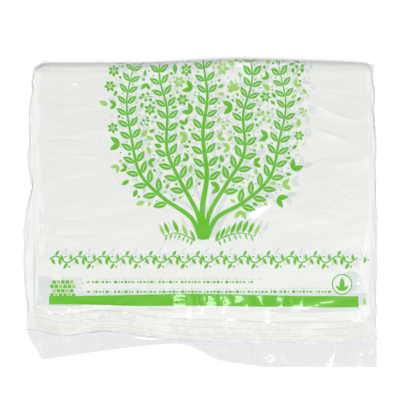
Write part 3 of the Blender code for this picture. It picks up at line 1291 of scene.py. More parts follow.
    def add_rows(self) -> None:
        """Print the two fine rows of grains."""
        round_cos, round_sin = disc_outline((0.0, 0.0), 1.0, corners=8).T
        for row, (x, right, y) in enumerate(self.rows):
            number = 0
            while x < right:
                long = self.grains[(number + 2 * row) % 5]
                self.add(np.column_stack([
                    x + long / 2.0 * (1.0 + round_cos),
                    y + self.grain_halves[number % 3 > 0] * round_sin]), Ink.LEAF_GREEN)
                x += long + self.grain_gaps[number % 6 > 0]
                number += 1

    def add_block(self) -> None:
        """Print the small lattice of squares at the left."""
        side, step = self.square, self.square_step
        for row in range(self.block_rows):
            for column in range(self.block_columns - row % 2):
                x = self.block[0] + column * step + (row % 2) * step / 2.0
                y = self.block[1] + row * step
                square = np.array([(x, y), (x + side, y), (x + side, y + side), (x, y + side)])
                self.add(square, Ink.LIME if (row + column) % 3 == 1 else Ink.LEAF_GREEN)

    def add_ring(self) -> None:
        """Print the ring with one leafy shoot in it at the right."""
        self.add(disc_outline(self.ring, self.ring_radius, corners=40), Ink.LEAF_GREEN)
        inner = disc_outline(self.ring, self.ring_radius - self.ring_line, corners=40)
        self.add(inner, Ink.BARE)
        base = (self.ring[0], self.ring[1] - self.shoot_foot)
        for angle, length in self.shoot_leaves:
            leaf = leaf_outline(base, angle, length, self.shoot_leaf_width * length)
            self.add(leaf, Ink.LEAF_GREEN)

    def add_band(self) -> None:
        """Print the plain band across the foot of the leaf, a little wider in its middle."""
        rows = np.array(self.band)
        xs = np.linspace(rows[0, 0], rows[-1, 0], self.band_points)
        edge_low, edge_high = (
            np.column_stack([xs, profile(tuple(zip(rows[:, 0], rows[:, i])), xs)]) for i in (1, 2))
        self.add(np.vstack([edge_low, edge_high[::-1]]), Ink.LEAF_GREEN)

    def add_turned_bits(self) -> None:
        """Print the ends of ornament that turn round the gusset at the right edge."""
        for base, angle, length, width, ink in self.turned_leaves:
            self.add(leaf_outline(base, angle, length, width), ink)
        spot = disc_outline(self.turned_spot, self.turned_spot_radius, corners=10)
        self.add(spot, Ink.LEAF_GREEN)

    def draw(self) -> list[Motif]:
        """Draw the whole print, from what lies lowest.

        Returns:
            The shapes in painting order: the next bag's print that shows through, then this
            bag's own.
        """
        for number in range(len(self.stems)):
            self.add_sprig(number)
        for add_part in (self.add_fillers, self.add_foot_sprays, self.add_vine, self.add_rows,
                         self.add_block, self.add_ring, self.add_band, self.add_turned_bits):
            add_part()
        behind = [motif.outline + self.behind_shift for motif in self.motifs
                  if motif.ink is not Ink.BARE]
        behind.append(np.array(self.patch_behind) + self.band[0][:2])
        for start, end, width in self.band_behind:
            count = self.band_behind_points
            bulge = np.sin(math.pi * np.linspace(*self.off_tips, count)) ** self.band_behind_power
            behind.append(ribbon_outline(np.linspace(start, end, count), width * bulge))
        return [Motif(outline, Ink.NEXT_BAG) for outline in behind] + self.motifs


@dataclass
class FilmBag:
    """One folded carrier bag: a slab of film with the mouth cut between its two handles.

    The printed leaf has `grid`. `back_grid_from` says how far round the fold it goes, as a share
    of the turn, and how large the gap to the grid behind it is, as a share of that grid's step.
    """

    path: FoldPath
    form: BagForm
    name: str
    seed: int
    grid: float
    back_grid: float = 4.5
    back_grid_from: tuple = (0.6, 0.8)
    underside_grid: float = 3.2
    thickness: float = 0.4
    outline_step: float = 3.0
    crease_spacing: float = 1.3
    crease_margin: float = 1.0
    print_margin: float = 0.3
    print_step: float = 0.7
    clear_of_edges: float = 0.5
    turn_count: int = 13
    turn_gap: float = 0.5
    handle_length: float = 135.0
    mouth_half_width: float = 75.9
    mouth_radius: float = 45.0
    corner_points: int = 9
    # weld strip along the free end, drawn darker as partly painted end shade: its width, point step
    # and margin
    weld_width: float = 0.8
    weld_step: float = 1.5
    weld_margin: float = 0.02
    slope_step: float = 0.05
    sharp_from: float = 50.0
    print_motifs: tuple = ()

    def outline(self) -> np.ndarray:
        """Draw the sheet's outline laid flat, with the mouth between the handles.

        Returns:
            The outline's points, across and along.
        """
        left, right = self.path.left, self.path.right
        start, end = -self.path.leaf, self.path.far_end
        in_left = self.path.middle - self.mouth_half_width
        in_right = self.path.middle + self.mouth_half_width
        turn = np.linspace(0.0, math.pi / 2.0, self.corner_points)
        inset = self.mouth_radius * (1.0 - np.cos(turn))
        rise = end - self.handle_length + self.mouth_radius * (1.0 - np.sin(turn))
        rough = np.vstack([
            [(left, start), (right, start), (right, end), (in_right, end)],
            np.column_stack([in_right - inset, rise]),
            np.column_stack([in_left + inset, rise])[::-1],
            [(in_left, end), (left, end)]])
        fine = []
        rows = self.turn_rows()
        for a, b in zip(rough, np.roll(rough, -1, axis=0)):
            count = max(int(round(np.hypot(*(b - a)) / self.outline_step)), 1)
            shares = np.arange(count) / count
            if len(rows) and min(a[1], b[1]) < rows[0] and max(a[1], b[1]) > rows[-1]:
                away = self.off_turn(a[1] + (b[1] - a[1]) * shares)
                shares = np.sort(np.append(shares[away], (rows - a[1]) / (b[1] - a[1])))
            fine.append(a + (b - a) * shares[:, None])
        return np.vstack(fine)

    def turn_rows(self) -> np.ndarray:
        """Give the rows round the fold that a coarse grid would cut across.

        Returns:
            Their places along the sheet, or none.
        """
        if self.grid <= self.path.turn / self.turn_count:
            return np.empty(0)
        return np.linspace(0.0, self.path.turn, self.turn_count)

    def off_turn(self, along: np.ndarray) -> np.ndarray:
        """True for places along the sheet that are clear of the rows round the fold."""
        rows = self.turn_rows()
        return (along < rows[0] - self.turn_gap) | (along > rows[-1] + self.turn_gap)

    def points_on(self, rows: np.ndarray, step: float) -> np.ndarray:
        """Lay points a step apart on rows across the sheet."""
        x, y = np.meshgrid(np.arange(self.path.left + step / 2.0, self.path.right, step), rows)
        return np.column_stack([x.ravel(), y.ravel()])

    def grid_points(self, kept_clear: np.ndarray, grid: float) -> np.ndarray:
        """Lay a grid over the sheet, coarser behind the fold, clear of the printed edges.

        Args:
            kept_clear: Points that the grid stays away from.
            grid: The printed leaf's step.

        Returns:
            The grid's points.
        """
        path, margin = self.path, self.clear_of_edges
        behind_grid = max(grid, self.back_grid)
        turned, skipped = self.back_grid_from
        ahead = np.arange(-path.leaf + grid / 2.0, turned * math.pi * path.radius, grid)
        behind = np.arange(ahead[-1] + skipped * behind_grid, path.far_end, behind_grid)
        spots = np.vstack([self.points_on(ahead, grid), self.points_on(behind, behind_grid)])
        rows = self.turn_rows()
        if len(rows):
            spots = np.vstack([spots[self.off_turn(spots[:, 1])], self.points_on(rows, grid)])
        off_x = self.mouth_half_width - np.abs(spots[:, 0] - path.middle)
        off_y = spots[:, 1] - (path.far_end - self.handle_length)
        corner = np.hypot(*(np.maximum(self.mouth_radius - off, 0.0) for off in (off_x, off_y)))
        in_mouth = (off_x > -margin) & (off_y > -margin) & (corner < self.mouth_radius + margin)
        spots = spots[~in_mouth]
        tree = kdtree.KDTree(len(kept_clear))
        for number, spot in enumerate(kept_clear):
            tree.insert((spot[0], spot[1], 0.0), number)
        tree.balance()
        clear = [tree.find((x, y, 0.0))[2] > margin for x, y in spots]
        return spots[np.array(clear)]

    def crease_points(self) -> np.ndarray:
        """Lay points along the printed leaf's creases, inside its edges, on the flat sheet.

        Returns:
            The points, across and along.
        """
        margin = self.crease_margin
        spots = np.vstack([crease.mesh_points(self.crease_spacing) for crease in self.form.creases])
        spots -= (0.0, self.path.line_y)
        inside = (spots[:, 0] > self.path.left + margin) & (spots[:, 0] < self.path.right - margin)
        return spots[inside & (spots[:, 1] > margin - self.path.leaf)]

    def flat_mesh(self, print_motifs: tuple, grid: float) -> tuple[np.ndarray, list, list]:
        """Fill the flat sheet with triangles whose edges follow the print.

        Args:
            print_motifs: The print.
            grid: The size of the triangles in bare film.

        Returns:
            The points, the triangles and each triangle's ink number.
        """
        left, right = self.path.left, self.path.right
        motifs = [
            motif for motif in print_motifs
            if motif.outline[:, 0].min() > left + self.print_margin
            and motif.outline[:, 0].max() < right - self.print_margin
        ]
        outlines = [self.outline()]
        outlines += [motif.outline - (0.0, self.path.line_y) for motif in motifs]
        weld_top = self.weld_width - self.path.leaf
        weld_x = np.arange(left + self.weld_step, right - self.print_step, self.weld_step)
        loose = [np.column_stack([weld_x, np.full_like(weld_x, weld_top)])]
        if print_motifs:
            loose.append(self.crease_points())
        edges = [
            towards(start, end, self.print_step)
            for outline in outlines
            for start, end in zip(outline, np.roll(outline, -1, axis=0))
        ]
        points = np.vstack(outlines + loose + [self.grid_points(np.vstack(loose + edges), grid)])
        firsts = np.cumsum([0] + [len(outline) for outline in outlines])
        faces = [list(range(first, last)) for first, last in zip(firsts, firsts[1:])]
        made = geometry.delaunay_2d_cdt(
            [Vector(p) for p in points], [], faces, 1, MERGE_DISTANCE, True)
        flat = np.array([tuple(p) for p in made[0]])
        triangles = []
        inks = []
        for corners, sources in zip(made[2], made[5]):
            if 0 not in sources:
                continue
            top = max(sources)
            triangles.append(tuple(corners))
            # triangles in the weld strip take its darker colour, partly painted shade along the
            # bag's end
            welded = flat[corners, 1].max() < weld_top + self.weld_margin
            bare = Ink.WELD if welded else Ink.BARE
            inks.append(motifs[top - 1].ink.value if top else bare.value)
        return flat, triangles, inks

    def folded(self, across: np.ndarray, along: np.ndarray) -> np.ndarray:
        """Bring points of the film's printed face to their place in the pack.

        Args:
            across: X of each point.
            along: Its place along the sheet.

        Returns:
            The points in mm, one per row.
        """
        lift = self.form.lift(across, along, self.path)
        moved_across, moved_along = self.form.shifted(across, along, self.path, self.seed)
        tuck = profile(self.form.corner_tuck, across)
        return self.path.place(moved_across, moved_along, lift, tuck)

    def underside(self, across: np.ndarray, along: np.ndarray) -> np.ndarray:
        """Bring points of the film's other face, square under the printed one, to their place.

        Args:
            across: X of each point.
            along: Its place along the sheet.

        Returns:
            The points in mm, one per row.
        """
        step = self.slope_step
        slope_x = self.folded(across + step, along) - self.folded(across - step, along)
        slope_y = self.folded(across, along + step) - self.folded(across, along - step)
        normal = np.cross(slope_x, slope_y)
        normal /= np.linalg.norm(normal, axis=1)[:, None]
        return self.folded(across, along) - self.thickness * normal

    def build(self, slots: list[bpy.types.Material]) -> bpy.types.Object:
        """Make the bag's closed mesh: its printed face, its underside and the rim between them.

        Args:
            slots: The materials, in the order of Ink; the last one is the weld strip's, darker
                partly as painted end shade.

        Returns:
            The bag's film.
        """
        flat, triangles, inks = self.flat_mesh(self.print_motifs, self.grid)
        low_flat, low_triangles, _ = self.flat_mesh((), max(self.grid, self.underside_grid))
        points = np.vstack([self.folded(*flat.T), self.underside(*low_flat.T)])
        count = len(flat)
        under = {(round(x, 3), round(y, 3)): i + count for i, (x, y) in enumerate(low_flat)}
        rim = self.rim_edges(triangles)
        below = {i: under[(round(flat[i, 0], 3), round(flat[i, 1], 3))]
                 for edge in rim for i in edge}
        faces = triangles + [tuple(i + count for i in reversed(t)) for t in low_triangles]
        faces += [(b, a, below[a], below[b]) for a, b in rim]
        bag = film_object(self.name, points, faces, slots, self.sharp_from)
        used = [min(ink, len(slots) - 1) for ink in inks]
        used += [Ink.BARE.value] * (len(low_triangles) + len(rim))
        bag.data.polygons.foreach_set("material_index", used)
        bag.data.validate()
        bag.data.update()
        return bag

    @staticmethod
    def rim_edges(triangles: list) -> list:
        """List the edges that only one triangle has, in that triangle's direction.

        Args:
            triangles: The triangles by their points.

        Returns:
            The edges.
        """
        seen = set()
        for a, b, c in triangles:
            seen.update(((a, b), (b, c), (c, a)))
        return [(a, b) for a, b in seen if (b, a) not in seen]

    def flat_area(self) -> float:
        """Give the cut's flat area in square metres."""
        x, y = self.outline().T
        return abs(float(np.dot(x, np.roll(y, -1)) - np.dot(y, np.roll(x, -1)))) / 2.0 * MM**2


@dataclass
class ClearSleeve:
    """The clear film sleeve: a tube round the stack, welded past the fold, open at the flap.

    It is lofted over rings, each a closed line round the stack. `side_slack` says for a Y how
    far a ring stands out at the left and at the right, and `flap_slack` for a share of the flap.
    `cut_line` and `weld_line` are (X, Y) and (X, width), and the ear's points are (X, Y, Z).
    """

    outer: FoldPath
    inner: FoldPath
    form: BagForm
    film_lift: tuple
    flap_lift: tuple
    side_lift: tuple
    back_lift: tuple
    end_lift: tuple
    fall_lift: tuple
    clearance: float = 0.5
    top_points: int = 333
    side_points: int = 20
    under_points: int = 65
    flap_rows: int = 26
    flap_rows_power: float = 1.2
    fall_rows: int = 7
    wedge_rows: int = 15
    fine_share: float = 0.2
    fine_rows: int = 50
    plain_rows: int = 76
    fold_rows: int = 12
    weld_rows: int = 4
    end_room: float = 1.3
    flap_gap: float = 0.9
    flap_z: float = 1.3
    fall_length: float = 1.7
    fall_straight: float = 0.6
    weld_half: float = 0.35
    weld_taper: float = 0.4
    fold_fade: float = 0.4
    flap_fade: float = 2.5
    bag_fade: float = 10.0
    gather_fade: tuple = (3.0, 8.0, 10.0)
    pressed_in: float = -0.1
    gather_pressed_in: float = -0.05
    side_way: float = 14.0
    side_lift_least: float = 0.25
    lowest: float = 0.12
    sharp_from: float = 18.0
    side_slack: tuple = (
        (-116, 9, 7.2), (-108.5, 9.1, 7.2), (-106.5, 9.2, 5.9), (-25, 9.6, 5.9), (-14, 9.2, 5.9),
        (-2, 8.7, 5.9), (7, 7.4, 5.8), (13, 5.6, 5.8), (19, 4.7, 5.7), (25, 4.7, 5.6),
        (38, 6.9, 5.3), (48, 6.9, 5), (60, 6, 4.9), (75, 5.6, 4.6), (84, 5.2, 4.4), (93, 4.7, 3),
        (102, 3.9, 3.9), (106, 3.3, 3.9), (111, 2.4, 3.9), (116.5, 4.2, 2.7), (122, 2.9, 2.6),
        (130, 1.6, 2.8), (134, 1.6, 3.9),
    )
    flap_slack: tuple = (
        (0, 9, 7.2), (0.15, 8.6, 7.2), (0.3, 6.9, 7.3), (0.6, 1.4, 7.4), (1, -4.6, 7.4),
    )
    cut_line: tuple = (
        (-145, -133), (-88, -124.8), (-65, -121.8), (-23, -118.6), (-11, -120.6), (16, -133.4),
        (44, -137.8), (64, -139.8), (158, -139.8),
    )
    weld_line: tuple = (
        (-158, 0.3), (-146, 0.5), (-139, 0.5), (-134, 0.6), (-100, 0.8), (-50, 0.9), (-20, 1.1),
        (30, 1.4), (60, 1.3), (120, 1.3), (150, 0.5), (158, -0.4),
    )
    ear_low: tuple = (
        (-150.4, 129.5, 15.2), (-147, 129.2, 18.3), (-143.5, 129.3, 18.9), (-140.1, 129.2, 19.3),
        (-137.6, 130.8, 18.6), (-135.6, 132.8, 17),
    )
    ear_high: tuple = (
        (-150.8, 130.3, 13.5), (-147.6, 132.6, 15.6), (-143.6, 135.2, 16.2), (-140, 137.3, 16.2),
        (-138.6, 136.7, 16.2), (-137.7, 134.9, 16),
    )
    ear_rows: int = 9
    ear_bulge: float = 1.9
    ear_bulge_power: float = 0.6
    ear_waves: tuple = (Ripple(0.25, 5, 5, 81),)
    flap_bulge: float = 1.4

    def last_end(self, x: np.ndarray) -> np.ndarray:
        """Give Y where the film comes off the stack's last end."""
        return self.form.end_of_stack(x, self.inner) - self.end_room

    def first_end(self, x: np.ndarray) -> np.ndarray:
        """Give Y where the film comes down off the printed bag's own end."""
        return self.form.end_of_stack(x, self.outer) - self.end_room

    def foot(self, x: np.ndarray) -> np.ndarray:
        """Give Y where the film has come down to the flap."""
        return self.last_end(x) - self.fall_length + total_lift(self.fall_lift, x, np.zeros_like(x))

    def stations(self) -> list[tuple[SleevePart, float]]:
        """List the rings from the cut edge to the weld: each one's part and share of that part.

        Returns:
            The part and share of each ring.
        """
        shares = {
            SleevePart.FLAP: (np.linspace(1.0, 0.0, self.flap_rows) ** self.flap_rows_power)[:-1],
            SleevePart.FALL: np.linspace(1.0, 0.0, self.fall_rows)[:-1],
            SleevePart.WEDGE: np.linspace(0.0, 1.0, self.wedge_rows)[:-1],
            SleevePart.BODY: np.concatenate([
                np.linspace(0.0, self.fine_share, self.fine_rows)[:-1],
                np.linspace(self.fine_share, 1.0, self.plain_rows)]),
            SleevePart.FOLD: np.linspace(0.0, 1.0, self.fold_rows)[1:],
            SleevePart.WELD: np.linspace(0.0, 1.0, self.weld_rows)[1:],
        }
        return [(part, float(share)) for part in SleevePart for share in shares[part]]

    def ring_shares(self) -> tuple[np.ndarray, np.ndarray]:
        """List a ring's points: the stretch each is on and its share of that stretch.

        The stretches are 0 the top from left to right, 1 the right side, 2 the bottom and 3 the
        left side.

        Returns:
            The stretch and the share of each point.
        """
        top = np.linspace(0.0, 1.0, self.top_points)
        bottom = np.linspace(0.0, 1.0, self.under_points)
        side = np.linspace(0.0, 1.0, self.side_points + 2)[1:-1]
        parts = (top, side, bottom, side)
        stretch = np.concatenate([np.full(len(part), n) for n, part in enumerate(parts)])
        return stretch, np.concatenate(parts)

    def line_at(self, part: SleevePart, share: float, x: np.ndarray) -> np.ndarray:
        """Give Y along one ring.

        Args:
            part: The part of the sleeve that the ring is in.
            share: Its share of that part.
            x: X of each point.

        Returns:
            Y of each point.
        """
        if part is SleevePart.FLAP:
            return self.foot(x) + share * (profile(self.cut_line, x) - self.foot(x))
        if part is SleevePart.FALL:
            return self.last_end(x) + share * (self.foot(x) - self.last_end(x))
        if part is SleevePart.WEDGE:
            return self.last_end(x) + share * (self.first_end(x) - self.last_end(x))
        if part is SleevePart.BODY:
            return self.first_end(x) + share * (self.outer.line_y - self.first_end(x))
        turned = math.sin(0.5 * math.pi * (share if part is SleevePart.FOLD else 1.0)) ** FOLD_POWER
        reach = self.outer.radius + self.clearance - profile(self.form.corner_tuck, x)
        fold = self.outer.line_y + reach * turned
        return fold if part is SleevePart.FOLD else fold + share * profile(self.weld_line, x)

    def slack(self, part: SleevePart, share: float) -> tuple[float, float]:
        """Give how far a ring stands out at the left and at the right of the stack.

        Args:
            part: The part of the sleeve that the ring is in.
            share: Its share of that part.

        Returns:
            The left one and the right one.
        """
        rows = np.array(self.side_slack)
        place = float(self.line_at(part, share, np.zeros(1))[0])
        if part in (SleevePart.FLAP, SleevePart.FALL):
            rows = np.array(self.flap_slack)
            place = share if part is SleevePart.FLAP else 0.0
        left, right = (float(np.interp(place, rows[:, 0], rows[:, i])) for i in (1, 2))
        return left, right

    def half_and_middle(self, part: SleevePart, share: float) -> tuple[float, float]:
        """Give a ring's half height and the height of its middle.

        Args:
            part: The part of the sleeve that the ring is in.
            share: Its share of that part.

        Returns:
            The half height and the middle's Z.
        """
        low = self.flap_gap / 2.0
        reach = self.outer.radius + self.clearance
        drop = self.outer.middle_z - self.flap_z
        if part is SleevePart.FLAP:
            return low, self.flap_z
        if part is SleevePart.FALL:
            straight = self.fall_straight
            fallen = straight * share + (1.0 - straight) * float(smooth_step(share))
            return low, self.outer.middle_z - drop * fallen
        if part is SleevePart.WEDGE:
            return low + share * (reach - low), self.outer.middle_z
        if part is SleevePart.BODY:
            return reach, self.outer.middle_z
        if part is SleevePart.FOLD:
            turned = max(math.cos(0.5 * math.pi * share), 0.0) ** FOLD_POWER
            return max(reach * turned, self.weld_half), self.outer.middle_z
        return self.weld_half * (1.0 - self.weld_taper * share), self.outer.middle_z

    def bulges(self, part: SleevePart, share: float) -> tuple[float, float]:
        """Give how wide the rounded side of a ring is, at the left and at the right.

        Args:
            part: The part of the sleeve that the ring is in.
            share: Its share of that part.

        Returns:
            The left one and the right one.
        """
        left, right = self.slack(part, share)
        if part is SleevePart.FLAP:
            return self.flap_bulge, self.flap_bulge
        if part is SleevePart.FALL:
            left += share * (self.flap_bulge - left)
            right += share * (self.flap_bulge - right)
        return left, right

    def ring(self, part: SleevePart, share: float, stretch: np.ndarray,
             way: np.ndarray) -> np.ndarray:
        """Place one ring's points, in mm.

        Args:
            part: The part of the sleeve that the ring is in.
            share: Its share of that part.
            stretch: The stretch of the ring that each point is on.
            way: Each point's share of its stretch.

        Returns:
            The points, one per row.
        """
        left_slack, right_slack = self.slack(part, share)
        bulge_left, bulge_right = self.bulges(part, share)
        flat_left = self.outer.left - left_slack + bulge_left
        flat_right = self.outer.right + right_slack - bulge_right
        angle = math.pi * way
        x = np.where(stretch == 0, flat_left + way * (flat_right - flat_left), 0.0)
        x = np.where(stretch == 1, flat_right + bulge_right * np.sin(angle), x)
        x = np.where(stretch == 2, flat_right + way * (flat_left - flat_right), x)
        x = np.where(stretch == 3, flat_left - bulge_left * np.sin(angle), x)
        up = np.select([stretch == 0, stretch == 1, stretch == 2],
                       [np.ones_like(way), np.cos(angle), -np.ones_like(way)], -np.cos(angle))
        y = self.line_at(part, share, x)
        half, middle = self.half_and_middle(part, share)
        z = middle + half * up
        z += np.clip(up, 0.0, 1.0) ** 0.5 * self.top_lift(part, share, x, y)
        on_stack = self.on_stack(part, share)
        z += np.clip(-up, 0.0, 1.0) * on_stack * np.abs(total_lift(self.back_lift, x, y))
        around = np.where(stretch == 1, way, way + 2.0) * self.side_way
        streak = total_lift(self.side_lift, around, y)
        on_side = ((stretch == 1) | (stretch == 3)) * np.sin(angle)
        on_side *= max(on_stack, self.side_lift_least)
        x += np.where(stretch == 1, 1.0, -1.0) * on_side * streak
        return np.column_stack([x, y, np.maximum(z, self.lowest)])

    def on_stack(self, part: SleevePart, share: float) -> float:
        """Give 1 where the film lies on the bags' leaves, fading out round the fold.

        Args:
            part: The part of the sleeve that the ring is in.
            share: Its share of that part.

        Returns:
            From 0 to 1.
        """
        if part is SleevePart.BODY:
            return 1.0
        if part is SleevePart.WEDGE:
            return share
        if part is SleevePart.FOLD:
            return max(math.cos(0.5 * math.pi * share), 0.0) ** self.fold_fade
        return 0.0

    def top_lift(self, part: SleevePart, share: float, x: np.ndarray, y: np.ndarray) -> np.ndarray:
        """Give how far the upper film stands off its plain shape, in mm.

        Args:
            part: The part of the sleeve that the ring is in.
            share: Its share of that part.
            x: X of each point.
            y: Y of each point.

        Returns:
            The lift of each point.
        """
        if part in (SleevePart.FLAP, SleevePart.FALL):
            on_flap = share if part is SleevePart.FLAP else 0.0
            fade = float(smooth_step(on_flap * self.flap_fade))
            return total_lift(self.flap_lift, x, y) * fade
        lift = np.maximum(total_lift(self.film_lift, x, y), self.pressed_in)
        if part is not SleevePart.WEDGE:
            bag_x = np.clip(x, self.outer.left, self.outer.right)
            bag_lift = self.form.lift(bag_x, y - self.outer.line_y, self.outer, creased=False)
            lift += smooth_step((y - self.first_end(x)) / self.bag_fade) * bag_lift
        gather = np.maximum(total_lift(self.end_lift, x, y), self.gather_pressed_in)
        fade_in, past_end, fade_out = self.gather_fade
        near_ends = smooth_step((y - self.last_end(x)) / fade_in)
        near_ends *= smooth_step((past_end + self.first_end(x) - y) / fade_out)
        return self.on_stack(part, share) * lift + near_ends * gather

    def ear(self, first: int) -> tuple[np.ndarray, list]:
        """Fold the upper left corner's spare film over into a small ear.

        Args:
            first: The number of the ear's first point in the sleeve's mesh.

        Returns:
            The points in mm and the faces.
        """
        low, high = (smooth_curve(edge, steps=8) for edge in (self.ear_low, self.ear_high))
        shares = np.linspace(0.0, 1.0, self.ear_rows)[:, None, None]
        sheet = low * (1.0 - shares) + high * shares
        bulge = np.sin(math.pi * shares[:, :, 0]) ** self.ear_bulge_power
        sheet[:, :, 2] += self.ear_bulge * bulge
        sheet[:, :, 2] += total_lift(self.ear_waves, sheet[:, :, 0], sheet[:, :, 1])
        return sheet.reshape(-1, 3), grid_faces(first, self.ear_rows, len(low), False)

    def build(self, material: bpy.types.Material) -> bpy.types.Object:
        """Loft the rings into the sleeve's film.

        Args:
            material: The film's material.

        Returns:
            The sleeve's film.
        """
        stretch, way = self.ring_shares()
        rings = [self.ring(part, share, stretch, way) for part, share in self.stations()]
        faces = grid_faces(0, len(rings), len(way), True)
        ear_points, ear_faces = self.ear(len(rings) * len(way))
        points = np.vstack(rings + [ear_points])
        return film_object(
            "clear_sleeve_film", points, faces + ear_faces, [material], self.sharp_from)


@dataclass(frozen=True)
class Studio:
    """The white board, the soft boxes, a low strip behind the fold, and the camera above."""

    picture_width: float = 0.362
    picture_centre: tuple = (-0.0016, 0.0115)
    camera_height: float = 1.4
    sensor: float = 36.0
    floor_side: float = 6.0
    soft_boxes: tuple = (
        ("soft_box_front", (0.20, -0.72, 1.30), (1.50, 0.45), 14.5, True),
        ("soft_box_left", (-1.25, -0.1, 1.00), (1.10, 2.00), 8.0, True),
        ("soft_box_right", (1.25, -0.1, 1.00), (1.10, 2.00), 5.0, True),
        ("soft_box_back", (0.0, 1.25, 0.75), (1.80, 0.60), 2.6, False),
        ("strip_box_fold", (0.0, 0.42, 0.10), (0.60, 0.06), 0.22, False),
        ("soft_box_low", (0.05, -1.50, 0.97), (0.80, 0.26), 0.85, True),
    )
    ceiling: float = 0.10
    walls: float = 0.90
    walls_end: float = 0.25
    ceiling_from: float = 0.95

    def add_floor(self) -> None:
        """Lay the white board that the pack lies on."""
        bpy.ops.mesh.primitive_plane_add(size=self.floor_side, location=(0.0, 0.0, 0.0))
        floor = bpy.context.object
        floor.name = "white_board"
        floor.data.materials.append(StudioFloorFinish().make())

    def add_soft_box(self, name: str, place: tuple, size: tuple, watts: float,
                     mirrored: bool) -> None:
        """Hang one soft box that points at the pack.

        Args:
            name: The lamp's name.
            place: Where it hangs, in m.
            size: Its width and height, in m.
            watts: Its power.
            mirrored: Whether gloss shows its picture, or only its light counts.
        """
        lamp = bpy.data.lights.new(name, "AREA")
        lamp.shape = "RECTANGLE"
        lamp.size, lamp.size_y = size
        lamp.energy = watts
        box = place_object(name, lamp)
        box.location = place
        box.rotation_euler = (-Vector(place)).to_track_quat("-Z", "Y").to_euler()
        box.visible_glossy = mirrored

    def add_world(self) -> None:
        """Surround the pack with a pale room whose ceiling is darker."""
        world = bpy.data.worlds.new("pale_room")
        bpy.context.scene.world = world
        world.use_nodes = True
        tree = world.node_tree
        tree.nodes.clear()
        ahead = add_node(tree, "TexCoord").outputs["Generated"]
        apart = add_node(tree, "SeparateXYZ", {"Vector": ahead})
        height = add_node(tree, "MapRange", {
            "Value": apart.outputs["Z"], "From Min": self.walls_end, "From Max": self.ceiling_from,
            "To Min": self.walls, "To Max": self.ceiling}, interpolation_type="SMOOTHSTEP")
        path = add_node(tree, "LightPath")
        strength = add_node(tree, "Mix", {
            "Factor": path.outputs["Is Camera Ray"], 2: height.outputs["Result"], 3: 1.0,
        }, data_type="FLOAT")
        room = add_node(tree, "Background", {"Strength": strength.outputs[0]})
        add_node(tree, "OutputWorld", {"Surface": room.outputs["Background"]})

    def add_camera(self) -> None:
        """Hang the camera straight above the pack."""
        camera = bpy.data.cameras.new("camera")
        camera.sensor_width = self.sensor
        camera.lens = self.sensor * self.camera_height / self.picture_width
        eye = place_object("camera", camera)
        eye.location = (*self.picture_centre, self.camera_height)
        bpy.context.scene.camera = eye

    def build(self) -> None:
        """Set up the whole studio."""
        self.add_floor()
        for row in self.soft_boxes:
            self.add_soft_box(*row)
        self.add_world()
        self.add_camera()
        bpy.context.scene.view_settings.view_transform = "Standard"


RIDGE, VALLEY, TUCK = CreaseForm.RIDGE, CreaseForm.VALLEY, CreaseForm.TUCK

# one row per bag: width of its weld strip, whose darker colour is partly painted shade along the
# end
WELD_WIDTHS = (0.9, 0.3, 0.4, 0.3, 1.0, 0.3, 0.5, 0.3, 0.9, 0.3, 0.4, 0.8)
BAG_WAVES = creases(
    (RIDGE, 1.6, 9.5, -166, 125.5, -60, 126.5, 60, 127.5, 166, 125.5),
    (TUCK, 0.9, 0.9, -72, -79.6, -90, -81.4, -113, -79.2),
    (TUCK, 0.5, 0.9, -60, -78, -70, -82, -84, -84.4),
    (RIDGE, 1.1, 5.5, 84, 104, 104, 94, 124, 86, 146, 81),
    (RIDGE, 0.75, 4.5, 80, 117, 108, 113, 148, 112),
    (RIDGE, 0.8, 5, 88, 77, 108, 72, 138, 58),
    (RIDGE, 0.5, 4.5, 104, 46, 124, 44, 146, 50),
    (RIDGE, 0.75, 5, -80, 106, -110, 104, -142, 106),
    (RIDGE, 0.7, 5, -84, 60, -112, 60, -142, 57),
    (RIDGE, 0.5, 4.5, -88, 38, -112, 33, -144, 34),
    (RIDGE, 0.65, 5.5, -60, -14, -100, -15, -142, -13),
) + (
    Ripple(0.35, 150, 80, 3),
    Ripple(0.1, 70, 22, 4),
    Ripple(0.03, 60, 9, 5, 5, sharp=True),
    Ripple(0.02, 22, 5, 6, 7, sharp=True),
)
